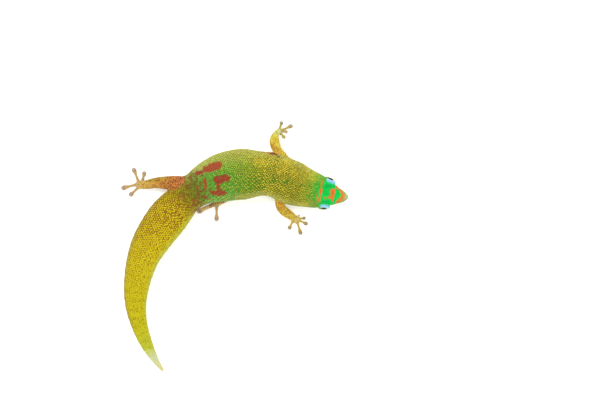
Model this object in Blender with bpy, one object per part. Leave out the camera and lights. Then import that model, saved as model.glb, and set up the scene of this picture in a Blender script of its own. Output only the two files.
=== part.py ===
"""Gold dust day gecko, life size, at rest on its belly and toes with its tail swung round.

The trunk, from the snout to the tip of the tail, is one tapered tube drawn along a bent
midline and parted by thin cuts into head, neck, chest, belly, pelvis and lengths of tail.
Each limb is a tube along its own bones, parted at the elbow or knee and at the wrist or
ankle, and each hand and foot is a palm with its toes fused on.

Functions work in millimetres; the meshes are made in metres. +Z is up, the floor is z = 0
and the origin is the middle of the animal's footprint. Facing forward, left is the side
towards +Y at the shoulders.
"""

import math

import bmesh
import bpy
import numpy as np
from mathutils import Matrix, Vector

METRES = 0.001
FLOOR = 0.0

# Neighbours keep GAP between them. A cutter with flat facets is grown a little more, because its
# facets lie inside its true curve.
GAP = 0.3
THIGH_GAP, TRUNK_GAP = GAP + 0.02, GAP + 0.03

# Trunk

SNOUT = (40.3, 17.5)
SNOUT_DOME = 0.55
TAIL_DOME = 0.5

# Stations from the snout back. Columns: distance behind the snout, heading of the midline
# towards the tail in degrees, half width, height of the back, height of the underside, share of
# the height where the trunk is widest, and the powers of the upper and lower halves of its
# section. An underside below the floor is pressed flat on it.
TRUNK = {
    "snout": (0.0, 173.0, 0.98, 3.95, 1.85, 0.45, 2.1, 2.1),
    "nostrils": (1.0, 172.4, 1.76, 4.60, 1.50, 0.44, 2.2, 2.2),
    "muzzle": (3.0, 170.5, 2.74, 5.50, 1.28, 0.42, 2.3, 2.3),
    "eye_fronts": (5.2, 168.3, 3.75, 6.45, 1.16, 0.40, 2.5, 2.3),
    "eyes": (7.2, 166.7, 4.65, 7.30, 1.10, 0.38, 2.7, 2.3),
    "temples": (10.0, 165.2, 5.80, 8.05, 1.02, 0.40, 2.5, 2.2),
    "jaw_corners": (13.0, 163.6, 6.55, 8.35, 0.95, 0.42, 2.3, 2.1),
    "nape": (16.0, 162.0, 7.25, 8.60, 0.85, 0.45, 2.2, 2.0),
    "throat": (20.0, 156.5, 7.90, 9.10, 0.40, 0.47, 2.2, 2.0),
    "shoulders": (25.0, 157.5, 7.75, 9.55, -0.30, 0.49, 2.2, 1.9),
    "ribs": (31.0, 178.0, 7.90, 9.95, -0.35, 0.50, 2.2, 1.8),
    "belly": (38.5, 184.6, 9.10, 10.45, -0.35, 0.50, 2.2, 1.75),
    "flank": (44.5, 193.3, 8.80, 10.20, -0.30, 0.50, 2.2, 1.75),
    "loins": (50.0, 203.4, 7.80, 9.40, 1.50, 0.50, 2.2, 1.8),
    "hips": (55.5, 213.9, 6.45, 8.10, 1.90, 0.47, 2.1, 1.9),
    "vent": (60.0, 220.7, 5.95, 7.00, 1.10, 0.44, 2.1, 2.1),
    "tail_root": (65.0, 227.0, 6.75, 6.60, -0.25, 0.42, 2.1, 2.3),
    "tail_broad": (70.5, 231.3, 7.25, 6.35, -0.30, 0.42, 2.1, 2.4),
    "tail_fore": (79.0, 237.5, 6.75, 5.85, -0.30, 0.42, 2.1, 2.4),
    "tail_middle": (89.0, 252.8, 5.50, 5.05, -0.25, 0.42, 2.1, 2.3),
    "tail_rear": (100.0, 266.0, 4.30, 4.05, -0.22, 0.42, 2.1, 2.2),
    "tail_slim": (110.0, 284.0, 3.10, 3.05, -0.20, 0.43, 2.0, 2.1),
    "tail_end": (120.0, 296.2, 2.05, 2.10, -0.16, 0.44, 2.0, 2.0),
    "tail_tip": (129.5, 308.0, 0.60, 0.85, -0.10, 0.46, 2.0, 2.0),
}

# Thin cuts across the trunk, as distances behind the snout; the last length ends at the tip.
HEAD_END = 15.6
LENGTHS = {
    "neck": (HEAD_END, 20.6, 1.7),
    "chest": (20.6, 35.0, 1.8),
    "belly": (35.0, 49.0, 1.8),
    "pelvis": (49.0, 62.6, 1.7),
    "tail_base": (62.6, 78.0, 1.5),
    "tail_fore": (78.0, 92.0, 1.5),
    "tail_middle": (92.0, 106.0, 1.5),
    "tail_rear": (106.0, 120.2, 1.5),
    "tail_tip": (120.2, 129.5, 1.3),
}
TRUNK_SIDES = 26
LIMB_SIDES = 14
TOE_SIDES = 10

# The tail is ringed by whorls of scales, each a little proud at its rear edge. A ring of points
# lies just before and just behind each edge.
WHORL = 3.0
WHORL_RISE = 0.13
WHORL_EDGE = 0.12
WHORLS_FROM, WHORLS_TO = 63.5, 121.0

# Head

# The lips stand out on both sides of the line of the mouth. Points lie on the middle of each lip,
# on the line's edges and above the upper lip. All are drawn in near the snout, where the head's
# outline from crown to throat is shorter than FULL_OUTLINE.
MOUTH_CORNER = 11.6
MOUTH_FADE = 1.4
MOUTH_SHARE = ((-1.0, 0.44), (1.0, 0.40), (4.0, 0.35), (8.0, 0.31), (12.0, 0.35), (16.0, 0.38))
MOUTH_DEPTH, MOUTH_WIDTH = 0.32, 0.14
LIP_RISE, LIP_OFFSET, LIP_WIDTH = 0.14, 0.46, 0.26
LINE_EDGE, ABOVE_LIP = 0.22, 0.2
FULL_OUTLINE = 7.0
BROW = {"at": 7.4, "length": 2.3, "from_midline": 3.5, "width": 1.1, "rise": 0.34}

EYE = {"at": 7.3, "from_midline": 4.25, "height": 5.0, "radius": 1.6, "up": 14.0, "forward": 12.0}
LID = {"mound": 2.3, "out": 0.92, "spare": 0.2, "sides": 24}
EAR = {"at": 13.9, "share": 0.50, "half_height": 0.62, "half_length": 0.42, "depth": 0.7}
NOSTRIL = {"at": 0.75, "share": 0.74, "radius": 0.3}

# Limbs: points along the bones with half width and half thickness. The elbow or knee and the
# wrist or ankle are given as numbers of points in from the root.
JOINT_POINT, WRIST_POINT = 3, 6
ARM_LEFT = (
    (18.9, 27.6, 4.9, 2.40, 2.2),
    (17.5, 31.3, 4.5, 2.00, 1.8),
    (15.7, 33.9, 3.8, 1.70, 1.55),
    (14.7, 36.3, 3.1, 1.82, 1.6),
    (14.5, 38.0, 2.4, 1.72, 1.4),
    (14.8, 39.4, 1.75, 1.36, 1.1),
    (15.4, 40.5, 1.25, 1.05, 0.85),
)
ARM_RIGHT = (
    (17.3, 20.6, 4.9, 2.45, 2.2),
    (16.7, 17.6, 4.3, 2.00, 1.8),
    (16.5, 15.2, 3.6, 1.76, 1.6),
    (17.2, 13.3, 3.0, 1.75, 1.6),
    (19.0, 11.8, 2.4, 1.68, 1.4),
    (20.4, 10.85, 1.8, 1.48, 1.15),
    (21.4, 10.1, 1.3, 1.30, 0.9),
)
LEG_LEFT = (
    (-13.0, 20.6, 4.1, 2.90, 2.3),
    (-16.9, 21.9, 4.1, 2.85, 2.5),
    (-20.4, 22.4, 4.0, 2.75, 2.4),
    (-24.3, 22.65, 3.3, 2.32, 2.1),
    (-27.7, 22.6, 2.6, 1.92, 1.7),
    (-30.3, 22.15, 1.85, 1.70, 1.35),
    (-32.2, 21.85, 1.35, 1.48, 1.0),
)

# The right hind leg is folded under the flank, so its thigh and shank are separate runs.
THIGH_RIGHT = (
    (-9.0, 21.7, 3.5, 1.95, 1.8),
    (-6.2, 20.8, 3.1, 1.85, 1.7),
    (-3.2, 19.8, 2.7, 1.65, 1.5),
    (-1.0, 19.0, 2.3, 1.40, 1.3),
)
SHANK_RIGHT = (
    (-1.0, 18.3, 1.9, 1.25, 1.2),
    (-2.3, 17.4, 1.75, 1.40, 1.25),
    (-3.7, 16.6, 1.5, 1.35, 1.1),
    (-4.9, 15.9, 1.25, 1.20, 0.9),
)

# Hands and feet: the palm's centre and half width, the nub of the first digit as in all day
# geckos, then each toe's base, its end and its pad's half width.
HAND_LEFT = {
    "palm": (16.2, 41.1),
    "half_width": 1.12,
    "nub": (16.9, 39.7),
    "toes": (
        (16.5, 40.8, 18.2, 38.5, 0.66),
        (16.7, 41.0, 19.2, 40.8, 0.64),
        (16.6, 41.2, 21.05, 43.2, 0.74),
        (16.1, 41.4, 17.2, 44.65, 0.72),
    ),
}
HAND_RIGHT = {
    "palm": (22.3, 9.5),
    "half_width": 1.45,
    "nub": (23.4, 11.25),
    "toes": (
        (22.7, 9.9, 25.65, 10.1, 0.62),
        (22.6, 9.5, 26.4, 7.8, 0.74),
        (22.4, 9.3, 24.0, 4.0, 0.76),
        (21.2, 9.3, 19.5, 5.95, 0.74),
    ),
}
FOOT_LEFT = {
    "palm": (-33.6, 21.9),
    "half_width": 1.45,
    "nub": (-32.2, 24.2),
    "toes": (
        (-33.0, 22.5, -31.7, 26.8, 0.78),
        (-33.8, 22.5, -35.95, 28.1, 0.84),
        (-33.9, 22.3, -40.3, 20.6, 0.88),
        (-33.9, 21.2, -37.3, 17.9, 0.84),
    ),
}
FOOT_RIGHT = {
    "palm": (-6.1, 15.3),
    "half_width": 1.3,
    "nub": (-5.3, 17.2),
    "toes": (
        (-6.1, 14.9, -6.2, 8.8, 0.84),
        (-6.6, 15.2, -13.2, 12.1, 0.95),
        (-6.5, 15.7, -11.4, 19.0, 0.84),
        (-6.1, 15.8, -8.3, 20.2, 0.78),
    ),
}
LIMB_STEP = 0.95
PATH_STEPS = 8
KNEE_DOME = 0.8
PALM_HEIGHT = 1.35
NUB_HALF_WIDTH = 0.34

# Along a toe: share of its length, share of the pad's half width, height of its top, underside.
TOE = (
    (0.00, 0.74, 1.10, 0.28),
    (0.25, 0.58, 0.92, 0.18),
    (0.48, 0.48, 0.80, 0.10),
    (0.62, 0.60, 0.74, -0.08),
    (0.76, 0.90, 0.70, -0.14),
    (0.88, 1.00, 0.64, -0.16),
    (0.96, 0.78, 0.56, -0.16),
)


def curve_through(knots, values, where):
    """Monotone cubic through the knots, read at where; values may have several columns."""
    x = np.asarray(knots, float)
    y = np.asarray(values, float).reshape(len(x), -1)
    step = np.diff(x)
    rise = np.diff(y, axis=0) / step[:, None]
    slope = np.zeros_like(y)
    slope[0], slope[-1] = rise[0], rise[-1]
    before, after = rise[:-1], rise[1:]
    weight_a = (2 * step[1:] + step[:-1])[:, None]
    weight_b = (step[1:] + 2 * step[:-1])[:, None]
    same_way = before * after > 0
    steady = np.where(same_way, before, 1.0), np.where(same_way, after, 1.0)
    slope[1:-1] = np.where(
        same_way, (weight_a + weight_b) / (weight_a / steady[0] + weight_b / steady[1]), 0.0
    )
    where = np.clip(np.atleast_1d(np.asarray(where, float)), x[0], x[-1])
    i = np.clip(np.searchsorted(x, where, side="right") - 1, 0, len(x) - 2)
    h = step[i][:, None]
    t = ((where - x[i]) / step[i])[:, None]
    return (
        y[i] * (1 + 2 * t) * (1 - t) ** 2
        + slope[i] * h * t * (1 - t) ** 2
        + y[i + 1] * t**2 * (3 - 2 * t)
        + slope[i + 1] * h * t**2 * (t - 1)
    )


def path_through(points, steps):
    """Smooth path through points of any number of columns, as evenly many steps a span."""
    p = np.asarray(points, float)
    p = np.vstack([2 * p[0] - p[1], p, 2 * p[-1] - p[-2]])
    out = []
    for a, b, c, d in zip(p, p[1:], p[2:], p[3:]):
        for t in np.arange(steps) / steps:
            bend = 2 * a - 5 * b + 4 * c - d
            out.append(0.5 * (2 * b + (c - a) * t + bend * t**2 + (3 * b - a - 3 * c + d) * t**3))
    out.append(p[-2])
    return np.array(out)


TRUNK_ROWS = np.array(list(TRUNK.values()))
SPINE_STEP = 0.1
SPINE_DISTANCES = np.arange(0.0, TRUNK_ROWS[-1, 0] + SPINE_STEP, SPINE_STEP)
SPINE_HEADINGS = np.radians(
    curve_through(TRUNK_ROWS[:, 0], TRUNK_ROWS[:, 1], SPINE_DISTANCES)[:, 0]
)
SPINE_POINTS = np.array(SNOUT) + SPINE_STEP * np.cumsum(
    np.column_stack([np.cos(SPINE_HEADINGS), np.sin(SPINE_HEADINGS)]), axis=0
)


def spine(distance):
    """Midline point, direction to the tail and direction to the animal's left, in plan."""
    heading = np.interp(distance, SPINE_DISTANCES, SPINE_HEADINGS)
    to_tail = np.array([math.cos(heading), math.sin(heading)])
    to_left = np.array([to_tail[1], -to_tail[0]])
    point = np.array([np.interp(distance, SPINE_DISTANCES, SPINE_POINTS[:, k]) for k in (0, 1)])
    return point, to_tail, to_left


def trunk_sizes(distance):
    return curve_through(TRUNK_ROWS[:, 0], TRUNK_ROWS[:, 2:], distance)[0]


def whorl_rise(distance):
    """How far the tail's whorls stand out here."""
    if not WHORLS_FROM < distance < WHORLS_TO:
        return 0.0
    along = (distance - WHORLS_FROM) / WHORL % 1.0
    return WHORL_RISE * (along - 0.5)


def section(sizes, angles):
    """Points across the trunk: sideways and up, at angles counted from the left side."""
    half, back, under, share, upper, lower = sizes
    wide_at = under + share * (back - under)
    c, s = np.cos(angles), np.sin(angles)
    power = np.where(s >= 0, upper, lower)
    height = np.where(s >= 0, back - wide_at, wide_at - under)
    across = half * np.sign(c) * np.abs(c) ** (2 / power)
    up = wide_at + height * np.sign(s) * np.abs(s) ** (2 / power)
    return np.column_stack([across, np.maximum(up, FLOOR)])


def on_trunk(distance, flat_points):
    """Section points set across the midline, in the row's frame."""
    point, _, to_left = spine(distance)
    return np.column_stack([point + flat_points[:, :1] * to_left, flat_points[:, 1]])


def trunk_ring(distance, grow=0.0):
    sizes = trunk_sizes(distance)
    sizes[0] += whorl_rise(distance) + grow
    sizes[1] += 0.5 * whorl_rise(distance) + grow
    sizes[2] -= grow
    angles = math.pi / 2 + 2 * math.pi * np.arange(TRUNK_SIDES) / TRUNK_SIDES
    return on_trunk(distance, section(sizes, angles))


def stops(start, end, step):
    return np.linspace(start, end, max(2, round((end - start) / step) + 1))


def whorl_stops(start, end, step):
    """Ring places along the tail: at each whorl's edge, just behind it and between."""
    edges = np.arange(WHORLS_FROM, WHORLS_TO, WHORL)
    places = np.concatenate([edges - WHORL_EDGE, edges + WHORL_EDGE, edges + WHORL / 2])
    margin = step / 3
    places = np.sort(places[(places > start + margin) & (places < end - margin)])
    return np.concatenate([[start], places, [end]])


def dome(ring, reach, steps=3):
    """Rings that close a tube's end in a rounded tip reaching on past the ring, and the pole."""
    ring = np.asarray(ring)
    middle = ring.mean(axis=0)
    closing = [
        middle + (ring - middle) * math.cos(a) + np.asarray(reach) * math.sin(a)
        for a in np.linspace(0, math.pi / 2, steps + 1)[1:-1]
    ]
    closing.append(np.array([middle + reach]))
    for points in closing:
        points[:, 2] = np.maximum(points[:, 2], FLOOR)
    return closing


def material(name, colour, roughness):
    found = bpy.data.materials.get(name)
    if found:
        return found
    made = bpy.data.materials.new(name)
    made.use_nodes = True
    shader = made.node_tree.nodes["Principled BSDF"]
    shader.inputs["Base Color"].default_value = (*colour, 1.0)
    shader.inputs["Roughness"].default_value = roughness
    shader.inputs["Metallic"].default_value = 0.0
    return made


def finish_object(name, mesh, look):
    mesh.materials.clear()
    mesh.materials.append(material(*look))
    mesh.shade_smooth()
    mesh.set_sharp_from_angle(angle=math.radians(50))
    thing = bpy.data.objects.new(name, mesh)
    bpy.context.scene.collection.objects.link(thing)
    return thing


def tube(name, rings, look):
    """Closed mesh through rings of equal count. A ring of one point is a pole; other ends are flat."""
    bm = bmesh.new()
    made = [[bm.verts.new(Vector(p) * METRES) for p in ring] for ring in rings]
    for near, far in zip(made, made[1:]):
        count = max(len(near), len(far))
        for k in range(count):
            j = (k + 1) % count
            corners = [near[k % len(near)], near[j % len(near)], far[j % len(far)], far[k % len(far)]]
            bm.faces.new(list(dict.fromkeys(corners)))
    for end in (made[0], made[-1]):
        if len(end) > 1:
            bm.faces.new(end)
    bmesh.ops.recalc_face_normals(bm, faces=bm.faces)
    mesh = bpy.data.meshes.new(name)
    bm.to_mesh(mesh)
    bm.free()
    return finish_object(name, mesh, look)


def ball(name, centre, radii, look, turn=None, segments=16):
    """Ellipsoid with its poles along its own Z, turned by a 3 x 3 matrix."""
    bm = bmesh.new()
    bmesh.ops.create_uvsphere(bm, u_segments=segments, v_segments=segments * 5 // 8, radius=1.0)
    place = Matrix.Translation(Vector(centre) * METRES)
    if turn is not None:
        place = place @ turn.to_4x4()
    bm.transform(place @ Matrix.Diagonal([r * METRES for r in radii]).to_4x4())
    mesh = bpy.data.meshes.new(name)
    bm.to_mesh(mesh)
    bm.free()
    return finish_object(name, mesh, look)


def combine(thing, others, operation):
    """Boolean of one object with a collection of others, applied; the others are then removed."""
    group = bpy.data.collections.new("pieces")
    bpy.context.scene.collection.children.link(group)
    for other in others:
        bpy.context.scene.collection.objects.unlink(other)
        group.objects.link(other)
    modifier = thing.modifiers.new("join", "BOOLEAN")
    modifier.operation = operation
    modifier.operand_type = "COLLECTION"
    modifier.collection = group
    modifier.solver = "EXACT"
    bpy.context.view_layer.update()
    graph = bpy.context.evaluated_depsgraph_get()
    mesh = bpy.data.meshes.new_from_object(thing.evaluated_get(graph))
    thing.modifiers.remove(modifier)
    thing.data = mesh
    for other in others:
        bpy.data.objects.remove(other)
    bpy.data.collections.remove(group)
    keep_largest(thing)
    return thing


def keep_largest(thing):
    """Keeps only the largest connected surface, with slivers of a Boolean merged away."""
    bm = bmesh.new()
    bm.from_mesh(thing.data)
    bmesh.ops.remove_doubles(bm, verts=bm.verts, dist=0.004 * METRES)
    unseen = set(bm.verts)
    groups = []
    while unseen:
        group, front = set(), [unseen.pop()]
        while front:
            vert = front.pop()
            group.add(vert)
            for edge in vert.link_edges:
                other = edge.other_vert(vert)
                if other in unseen:
                    unseen.remove(other)
                    front.append(other)
        groups.append(group)
    largest = max(groups, key=len)
    scraps = [v for group in groups if group is not largest for v in group]
    bmesh.ops.delete(bm, geom=scraps, context="VERTS")
    bmesh.ops.triangulate(bm, faces=bm.faces)
    bm.to_mesh(thing.data)
    bm.free()


GREEN = ("back_skin", (0.33, 0.55, 0.06), 0.5)
HEAD_GREEN = ("head_skin", (0.05, 0.62, 0.14), 0.45)
YELLOW = ("tail_skin", (0.60, 0.56, 0.03), 0.5)
PALE = ("tail_tip_skin", (0.72, 0.78, 0.52), 0.5)
OCHRE = ("limb_skin", (0.66, 0.42, 0.10), 0.5)
DARK = ("eye", (0.02, 0.015, 0.01), 0.1)
LOOKS = {
    "neck": GREEN,
    "chest": GREEN,
    "belly": GREEN,
    "pelvis": GREEN,
    "tail_base": YELLOW,
    "tail_fore": YELLOW,
    "tail_middle": YELLOW,
    "tail_rear": YELLOW,
    "tail_tip": PALE,
}


# Head

def mouth_depth(distance):
    """Full along the lips, fading out behind the corner of the mouth."""
    return MOUTH_DEPTH * float(np.clip((MOUTH_CORNER - distance) / MOUTH_FADE, 0.0, 1.0))


def half_section(distance):
    """One side of the head's outline here, from the crown to the chin, with arc lengths."""
    sizes = trunk_sizes(distance)
    flat = section(sizes, np.radians(np.linspace(90, -90, 241)))
    arc = np.concatenate([[0.0], np.cumsum(np.linalg.norm(np.diff(flat, axis=0), axis=1))])
    return sizes, flat, arc


def outward(flat):
    """Unit normals of a line of points that runs from the crown to the chin."""
    run = np.gradient(flat, axis=0)
    run /= np.linalg.norm(run, axis=1)[:, None]
    return np.column_stack([-run[:, 1], run[:, 0]])


def head_ring(distance, upper=9, lower=5):
    """Ring with points laid on the lips and in the line of the mouth."""
    sizes, flat, arc = half_section(distance)
    back, under = sizes[1:3]
    share = curve_through(*zip(*MOUTH_SHARE), distance)[0, 0]
    mouth_at = float(np.interp(-(under + share * (back - under)), -flat[:, 1], arc))
    scale = min(1.0, arc[-1] / FULL_OUTLINE)
    lips = mouth_at + scale * np.array(
        [-LIP_OFFSET - ABOVE_LIP, -LIP_OFFSET, -LINE_EDGE, 0.0, LINE_EDGE, LIP_OFFSET]
    )
    crown = np.linspace(0.0, lips[0], upper + 1)[:-1]
    chin = np.linspace(lips[-1], arc[-1], lower + 1)[1:]
    places = np.concatenate([crown, lips, chin])
    points = np.column_stack([np.interp(places, arc, flat[:, k]) for k in (0, 1)])
    normals = outward(flat)
    normals = np.column_stack([np.interp(places, arc, normals[:, k]) for k in (0, 1)])
    from_line = (places - mouth_at) / scale
    strength = mouth_depth(distance) / MOUTH_DEPTH * scale
    rise = LIP_RISE * np.exp(-(((np.abs(from_line) - LIP_OFFSET) / LIP_WIDTH) ** 2))
    rise -= MOUTH_DEPTH * np.exp(-((from_line / MOUTH_WIDTH) ** 2))
    brow = np.exp(-(((distance - BROW["at"]) / BROW["length"]) ** 2))
    brow *= np.exp(-(((places - BROW["from_midline"]) / BROW["width"]) ** 2))
    points = points + normals * (strength * rise + BROW["rise"] * brow)[:, None]
    points[0, 0] = points[-1, 0] = 0.0
    other_side = points[1:-1][::-1] * (-1, 1)
    return on_trunk(distance, np.vstack([points, other_side]))


def head_spot(distance, share, side):
    """Point on the side of the head at a share of its height, and the way out of the skin."""
    sizes, flat, arc = half_section(distance)
    level = sizes[2] + share * (sizes[1] - sizes[2])
    k = int(np.argmin(np.abs(flat[:, 1] - level)))
    point, _, to_left = spine(distance)
    across, up = flat[k]
    out, rise = outward(flat)[k]
    place = Vector((*(point + side * across * to_left), up))
    return place, Vector((*(side * out * to_left), rise)).normalized()


def eye_frame(side):
    """Centre of an eyeball and the way that the eye looks."""
    point, to_tail, to_left = spine(EYE["at"])
    centre = Vector((*(point + side * EYE["from_midline"] * to_left), EYE["height"]))
    forward, up = math.radians(EYE["forward"]), math.radians(EYE["up"])
    plan = side * to_left * math.cos(forward) - to_tail * math.sin(forward)
    return centre, Vector((*(plan * math.cos(up)), math.sin(up))).normalized()


def lid_pieces(side):
    """The mound of skin round an eye, and the cutters that open it: the eyeball's socket and a
    disc that trims the mound to a rim."""
    centre, look_way = eye_frame(side)
    facing = look_way.to_track_quat("Z", "Y").to_matrix()
    mound = ball("mound", centre, (LID["mound"],) * 3, HEAD_GREEN, facing, segments=LID["sides"])
    socket = ball("socket", centre, (EYE["radius"] + GAP,) * 3, DARK, facing, segments=20)
    reach = LID["mound"] - LID["out"] + LID["spare"]
    middle = centre + look_way * (LID["out"] + reach / 2)
    trim = prism("trim", middle, facing, LID["mound"] + LID["spare"], reach)
    return mound, [socket, trim]


def prism(name, middle, facing, radius, length, sides=24):
    bm = bmesh.new()
    bmesh.ops.create_cone(
        bm, cap_ends=True, segments=sides, radius1=radius, radius2=radius, depth=length
    )
    bm.transform(facing.to_4x4())
    bm.transform(Matrix.Translation(middle))
    bm.transform(Matrix.Scale(METRES, 4))
    mesh = bpy.data.meshes.new(name)
    bm.to_mesh(mesh)
    bm.free()
    return finish_object(name, mesh, DARK)


def make_head():
    """Skull, lips, lids, nostrils and ears in one node, with a socket for each eye."""
    places = np.concatenate([[0.0, 0.45], stops(1.0, HEAD_END - GAP / 2, 0.62)])
    rings = [head_ring(p) for p in places]
    nose = dome(rings[0], (*(-SNOUT_DOME * spine(0.0)[1]), -0.1), steps=4)
    head = tube("head", nose[::-1] + rings, HEAD_GREEN)
    mounds, cutters = [], []
    for side in (1, -1):
        mound, openings = lid_pieces(side)
        mounds.append(mound)
        cutters += openings
        spot, out = head_spot(EAR["at"], EAR["share"], side)
        size = (EAR["half_length"], EAR["half_height"], EAR["depth"])
        facing = out.to_track_quat("Z", "Y").to_matrix()
        cutters.append(ball("ear", spot, size, DARK, facing, segments=14))
        spot, out = head_spot(NOSTRIL["at"], NOSTRIL["share"], side)
        cutters.append(ball("nostril", spot, (NOSTRIL["radius"],) * 3, DARK, segments=10))
    combine(head, mounds, "UNION")
    combine(head, cutters, "DIFFERENCE")


def make_eyes():
    for side, name in ((1, "eye_left"), (-1, "eye_right")):
        centre, look_way = eye_frame(side)
        turn = look_way.to_track_quat("Z", "Y").to_matrix()
        ball(name, centre, (EYE["radius"],) * 3, DARK, turn, segments=18)


# Neck, body and tail

def make_trunk():
    for name, (start, end, step) in LENGTHS.items():
        tail = start > WHORLS_FROM - WHORL and name != "tail_tip"
        first = start + GAP / 2
        last = end if name == "tail_tip" else end - GAP / 2
        places = (whorl_stops if tail else stops)(first, last, step)
        rings = [trunk_ring(p) for p in places]
        if name == "tail_tip":
            rings += dome(rings[-1], (*(TAIL_DOME * spine(last)[1]), 0.0))
        tube(name, rings, LOOKS[name])


def trunk_clearance(start, end):
    """The trunk grown by the gap that its neighbours keep, for cutting them to its surface."""
    rings = [trunk_ring(p, TRUNK_GAP) for p in stops(start, end, 1.8)]
    return tube("clearance", rings, GREEN)


# Limbs

def limb_rings(points):
    """A function that gives the ring at a distance along a limb, and the path's distances."""
    path = path_through(points, PATH_STEPS)
    run = np.gradient(path[:, :3], axis=0)
    run /= np.linalg.norm(run, axis=1)[:, None]
    side = np.cross(run, (0.0, 0.0, 1.0))
    side /= np.linalg.norm(side, axis=1)[:, None]
    up = np.cross(side, run)
    arc = np.concatenate([[0.0], np.cumsum(np.linalg.norm(np.diff(path[:, :3], axis=0), axis=1))])
    table = np.column_stack([path, side, up])

    def ring(distance, grow=0.0):
        row = np.array([np.interp(distance, arc, table[:, k]) for k in range(table.shape[1])])
        centre, half, thick, aside, upward = row[:3], row[3], row[4], row[5:8], row[8:11]
        angles = math.pi / 2 + 2 * math.pi * np.arange(LIMB_SIDES) / LIMB_SIDES
        across = (half + grow) * np.cos(angles)[:, None] * aside
        spots = centre + across + (thick + grow) * np.sin(angles)[:, None] * upward
        spots[:, 2] = np.maximum(spots[:, 2], FLOOR + 0.05 - grow)
        return spots

    return ring, arc


def make_limb(points, upper, lower, root_range):
    """Upper and lower length of a limb with a thin cut at the joint, the root cut to the trunk.
    Gives the ring that the hand or foot starts from."""
    ring, arc = limb_rings(points)
    joint, wrist = arc[PATH_STEPS * JOINT_POINT], arc[PATH_STEPS * WRIST_POINT]
    top = tube(upper, [ring(p) for p in stops(0.0, joint - GAP / 2, LIMB_STEP)], OCHRE)
    tube(lower, [ring(p) for p in stops(joint + GAP / 2, wrist - GAP, LIMB_STEP)], OCHRE)
    combine(top, [trunk_clearance(*root_range)], "DIFFERENCE")
    return ring(wrist)


def make_folded_leg(root_range, pressed):
    """Thigh and shank lying along each other under the flank, with rounded knee ends. The thigh
    lies in a groove of the trunk lengths named in pressed."""
    ring, arc = limb_rings(THIGH_RIGHT)
    places = stops(0.0, arc[-1], LIMB_STEP)
    way = ring(arc[-1]).mean(axis=0) - ring(arc[-1] - 0.2).mean(axis=0)
    way /= np.linalg.norm(way)

    def thigh_tube(name, grow):
        rings = [ring(p, grow) for p in places]
        root = dome(rings[0], way * -(KNEE_DOME + grow))[::-1]
        return tube(name, root + rings + dome(rings[-1], way * (KNEE_DOME + grow)), OCHRE)

    thigh_tube("thigh_right", 0.0)
    for name in pressed:
        combine(bpy.data.objects[name], [thigh_tube("clearance", THIGH_GAP)], "DIFFERENCE")
    ring_of_shank, arc = limb_rings(SHANK_RIGHT)
    rings = [ring_of_shank(p) for p in stops(0.0, arc[-1] - GAP, 0.7)]
    way_back = ring_of_shank(0.2).mean(axis=0) - ring_of_shank(0.0).mean(axis=0)
    start = dome(rings[0], way_back / np.linalg.norm(way_back) * -KNEE_DOME)[::-1]
    shank = tube("shank_right", start + rings, OCHRE)
    clear_of = [thigh_tube("clearance", THIGH_GAP), trunk_clearance(*root_range)]
    combine(shank, clear_of, "DIFFERENCE")
    return ring_of_shank(arc[-1])


def toe_tube(start, end, pad, look):
    """One toe: slender, then widened to a flat pad that lies on the floor."""
    start, end = np.array(start), np.array(end)
    run = end - start
    length = np.linalg.norm(run)
    run /= length
    aside = np.array([-run[1], run[0]])
    angles = math.pi / 2 + 2 * math.pi * np.arange(TOE_SIDES) / TOE_SIDES
    rings = []
    for share, width, top, under in TOE:
        sizes = (pad * width, top, under, 0.45, 2.2, 2.2)
        flat = section(sizes, angles)
        centre = start + run * share * (length - 0.3 * pad)
        rings.append(np.column_stack([centre + flat[:, :1] * aside, flat[:, 1]]))
    tip = dome(rings[-1], (*(run * 0.5 * pad), -0.06))
    return tube("toe", rings + tip, look)


def make_foot(name, wrist_ring, shape, range_to_clear=None):
    """Palm with four padded toes and the nub of the first digit."""
    palm = np.array(shape["palm"])
    middle = wrist_ring.mean(axis=0)
    run = palm - middle[:2]
    length = np.linalg.norm(run)
    run /= length
    aside = np.array([-run[1], run[0]])
    half = shape["half_width"]
    rings = [wrist_ring]
    angles = math.pi / 2 + 2 * math.pi * np.arange(LIMB_SIDES) / LIMB_SIDES
    for further, width, height in ((0.0, 1.0, 1.0), (0.5, 0.9, 0.8)):
        sizes = (half * width, PALM_HEIGHT * height, 0.0, 0.45, 2.0, 2.0)
        flat = section(sizes, angles)
        centre = palm + run * further * half
        rings.append(np.column_stack([centre - flat[:, :1] * aside, flat[:, 1]]))
    rings += dome(rings[-1], (*(run * 0.4 * half), -0.2))
    foot = tube(name, rings, OCHRE)
    toes = [toe_tube(toe[:2], toe[2:4], toe[4], OCHRE) for toe in shape["toes"]]
    nub_way = np.array(shape["nub"]) - palm
    nub_way /= np.linalg.norm(nub_way)
    toes.append(toe_tube(palm + nub_way * 0.4, shape["nub"], NUB_HALF_WIDTH / 0.8, OCHRE))
    combine(foot, toes, "UNION")
    if range_to_clear:
        combine(foot, [trunk_clearance(*range_to_clear)], "DIFFERENCE")


def make_limbs():
    shoulder, hip = (16.0, 36.0), (34.0, 76.0)
    for points, upper, lower, foot, shape, roots in (
        (ARM_LEFT, "upper_arm_left", "forearm_left", "hand_left", HAND_LEFT, shoulder),
        (ARM_RIGHT, "upper_arm_right", "forearm_right", "hand_right", HAND_RIGHT, shoulder),
        (LEG_LEFT, "thigh_left", "shank_left", "foot_left", FOOT_LEFT, hip),
    ):
        make_foot(foot, make_limb(points, upper, lower, roots), shape)
    make_foot("foot_right", make_folded_leg(hip, ("belly", "pelvis")), FOOT_RIGHT, hip)


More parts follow.
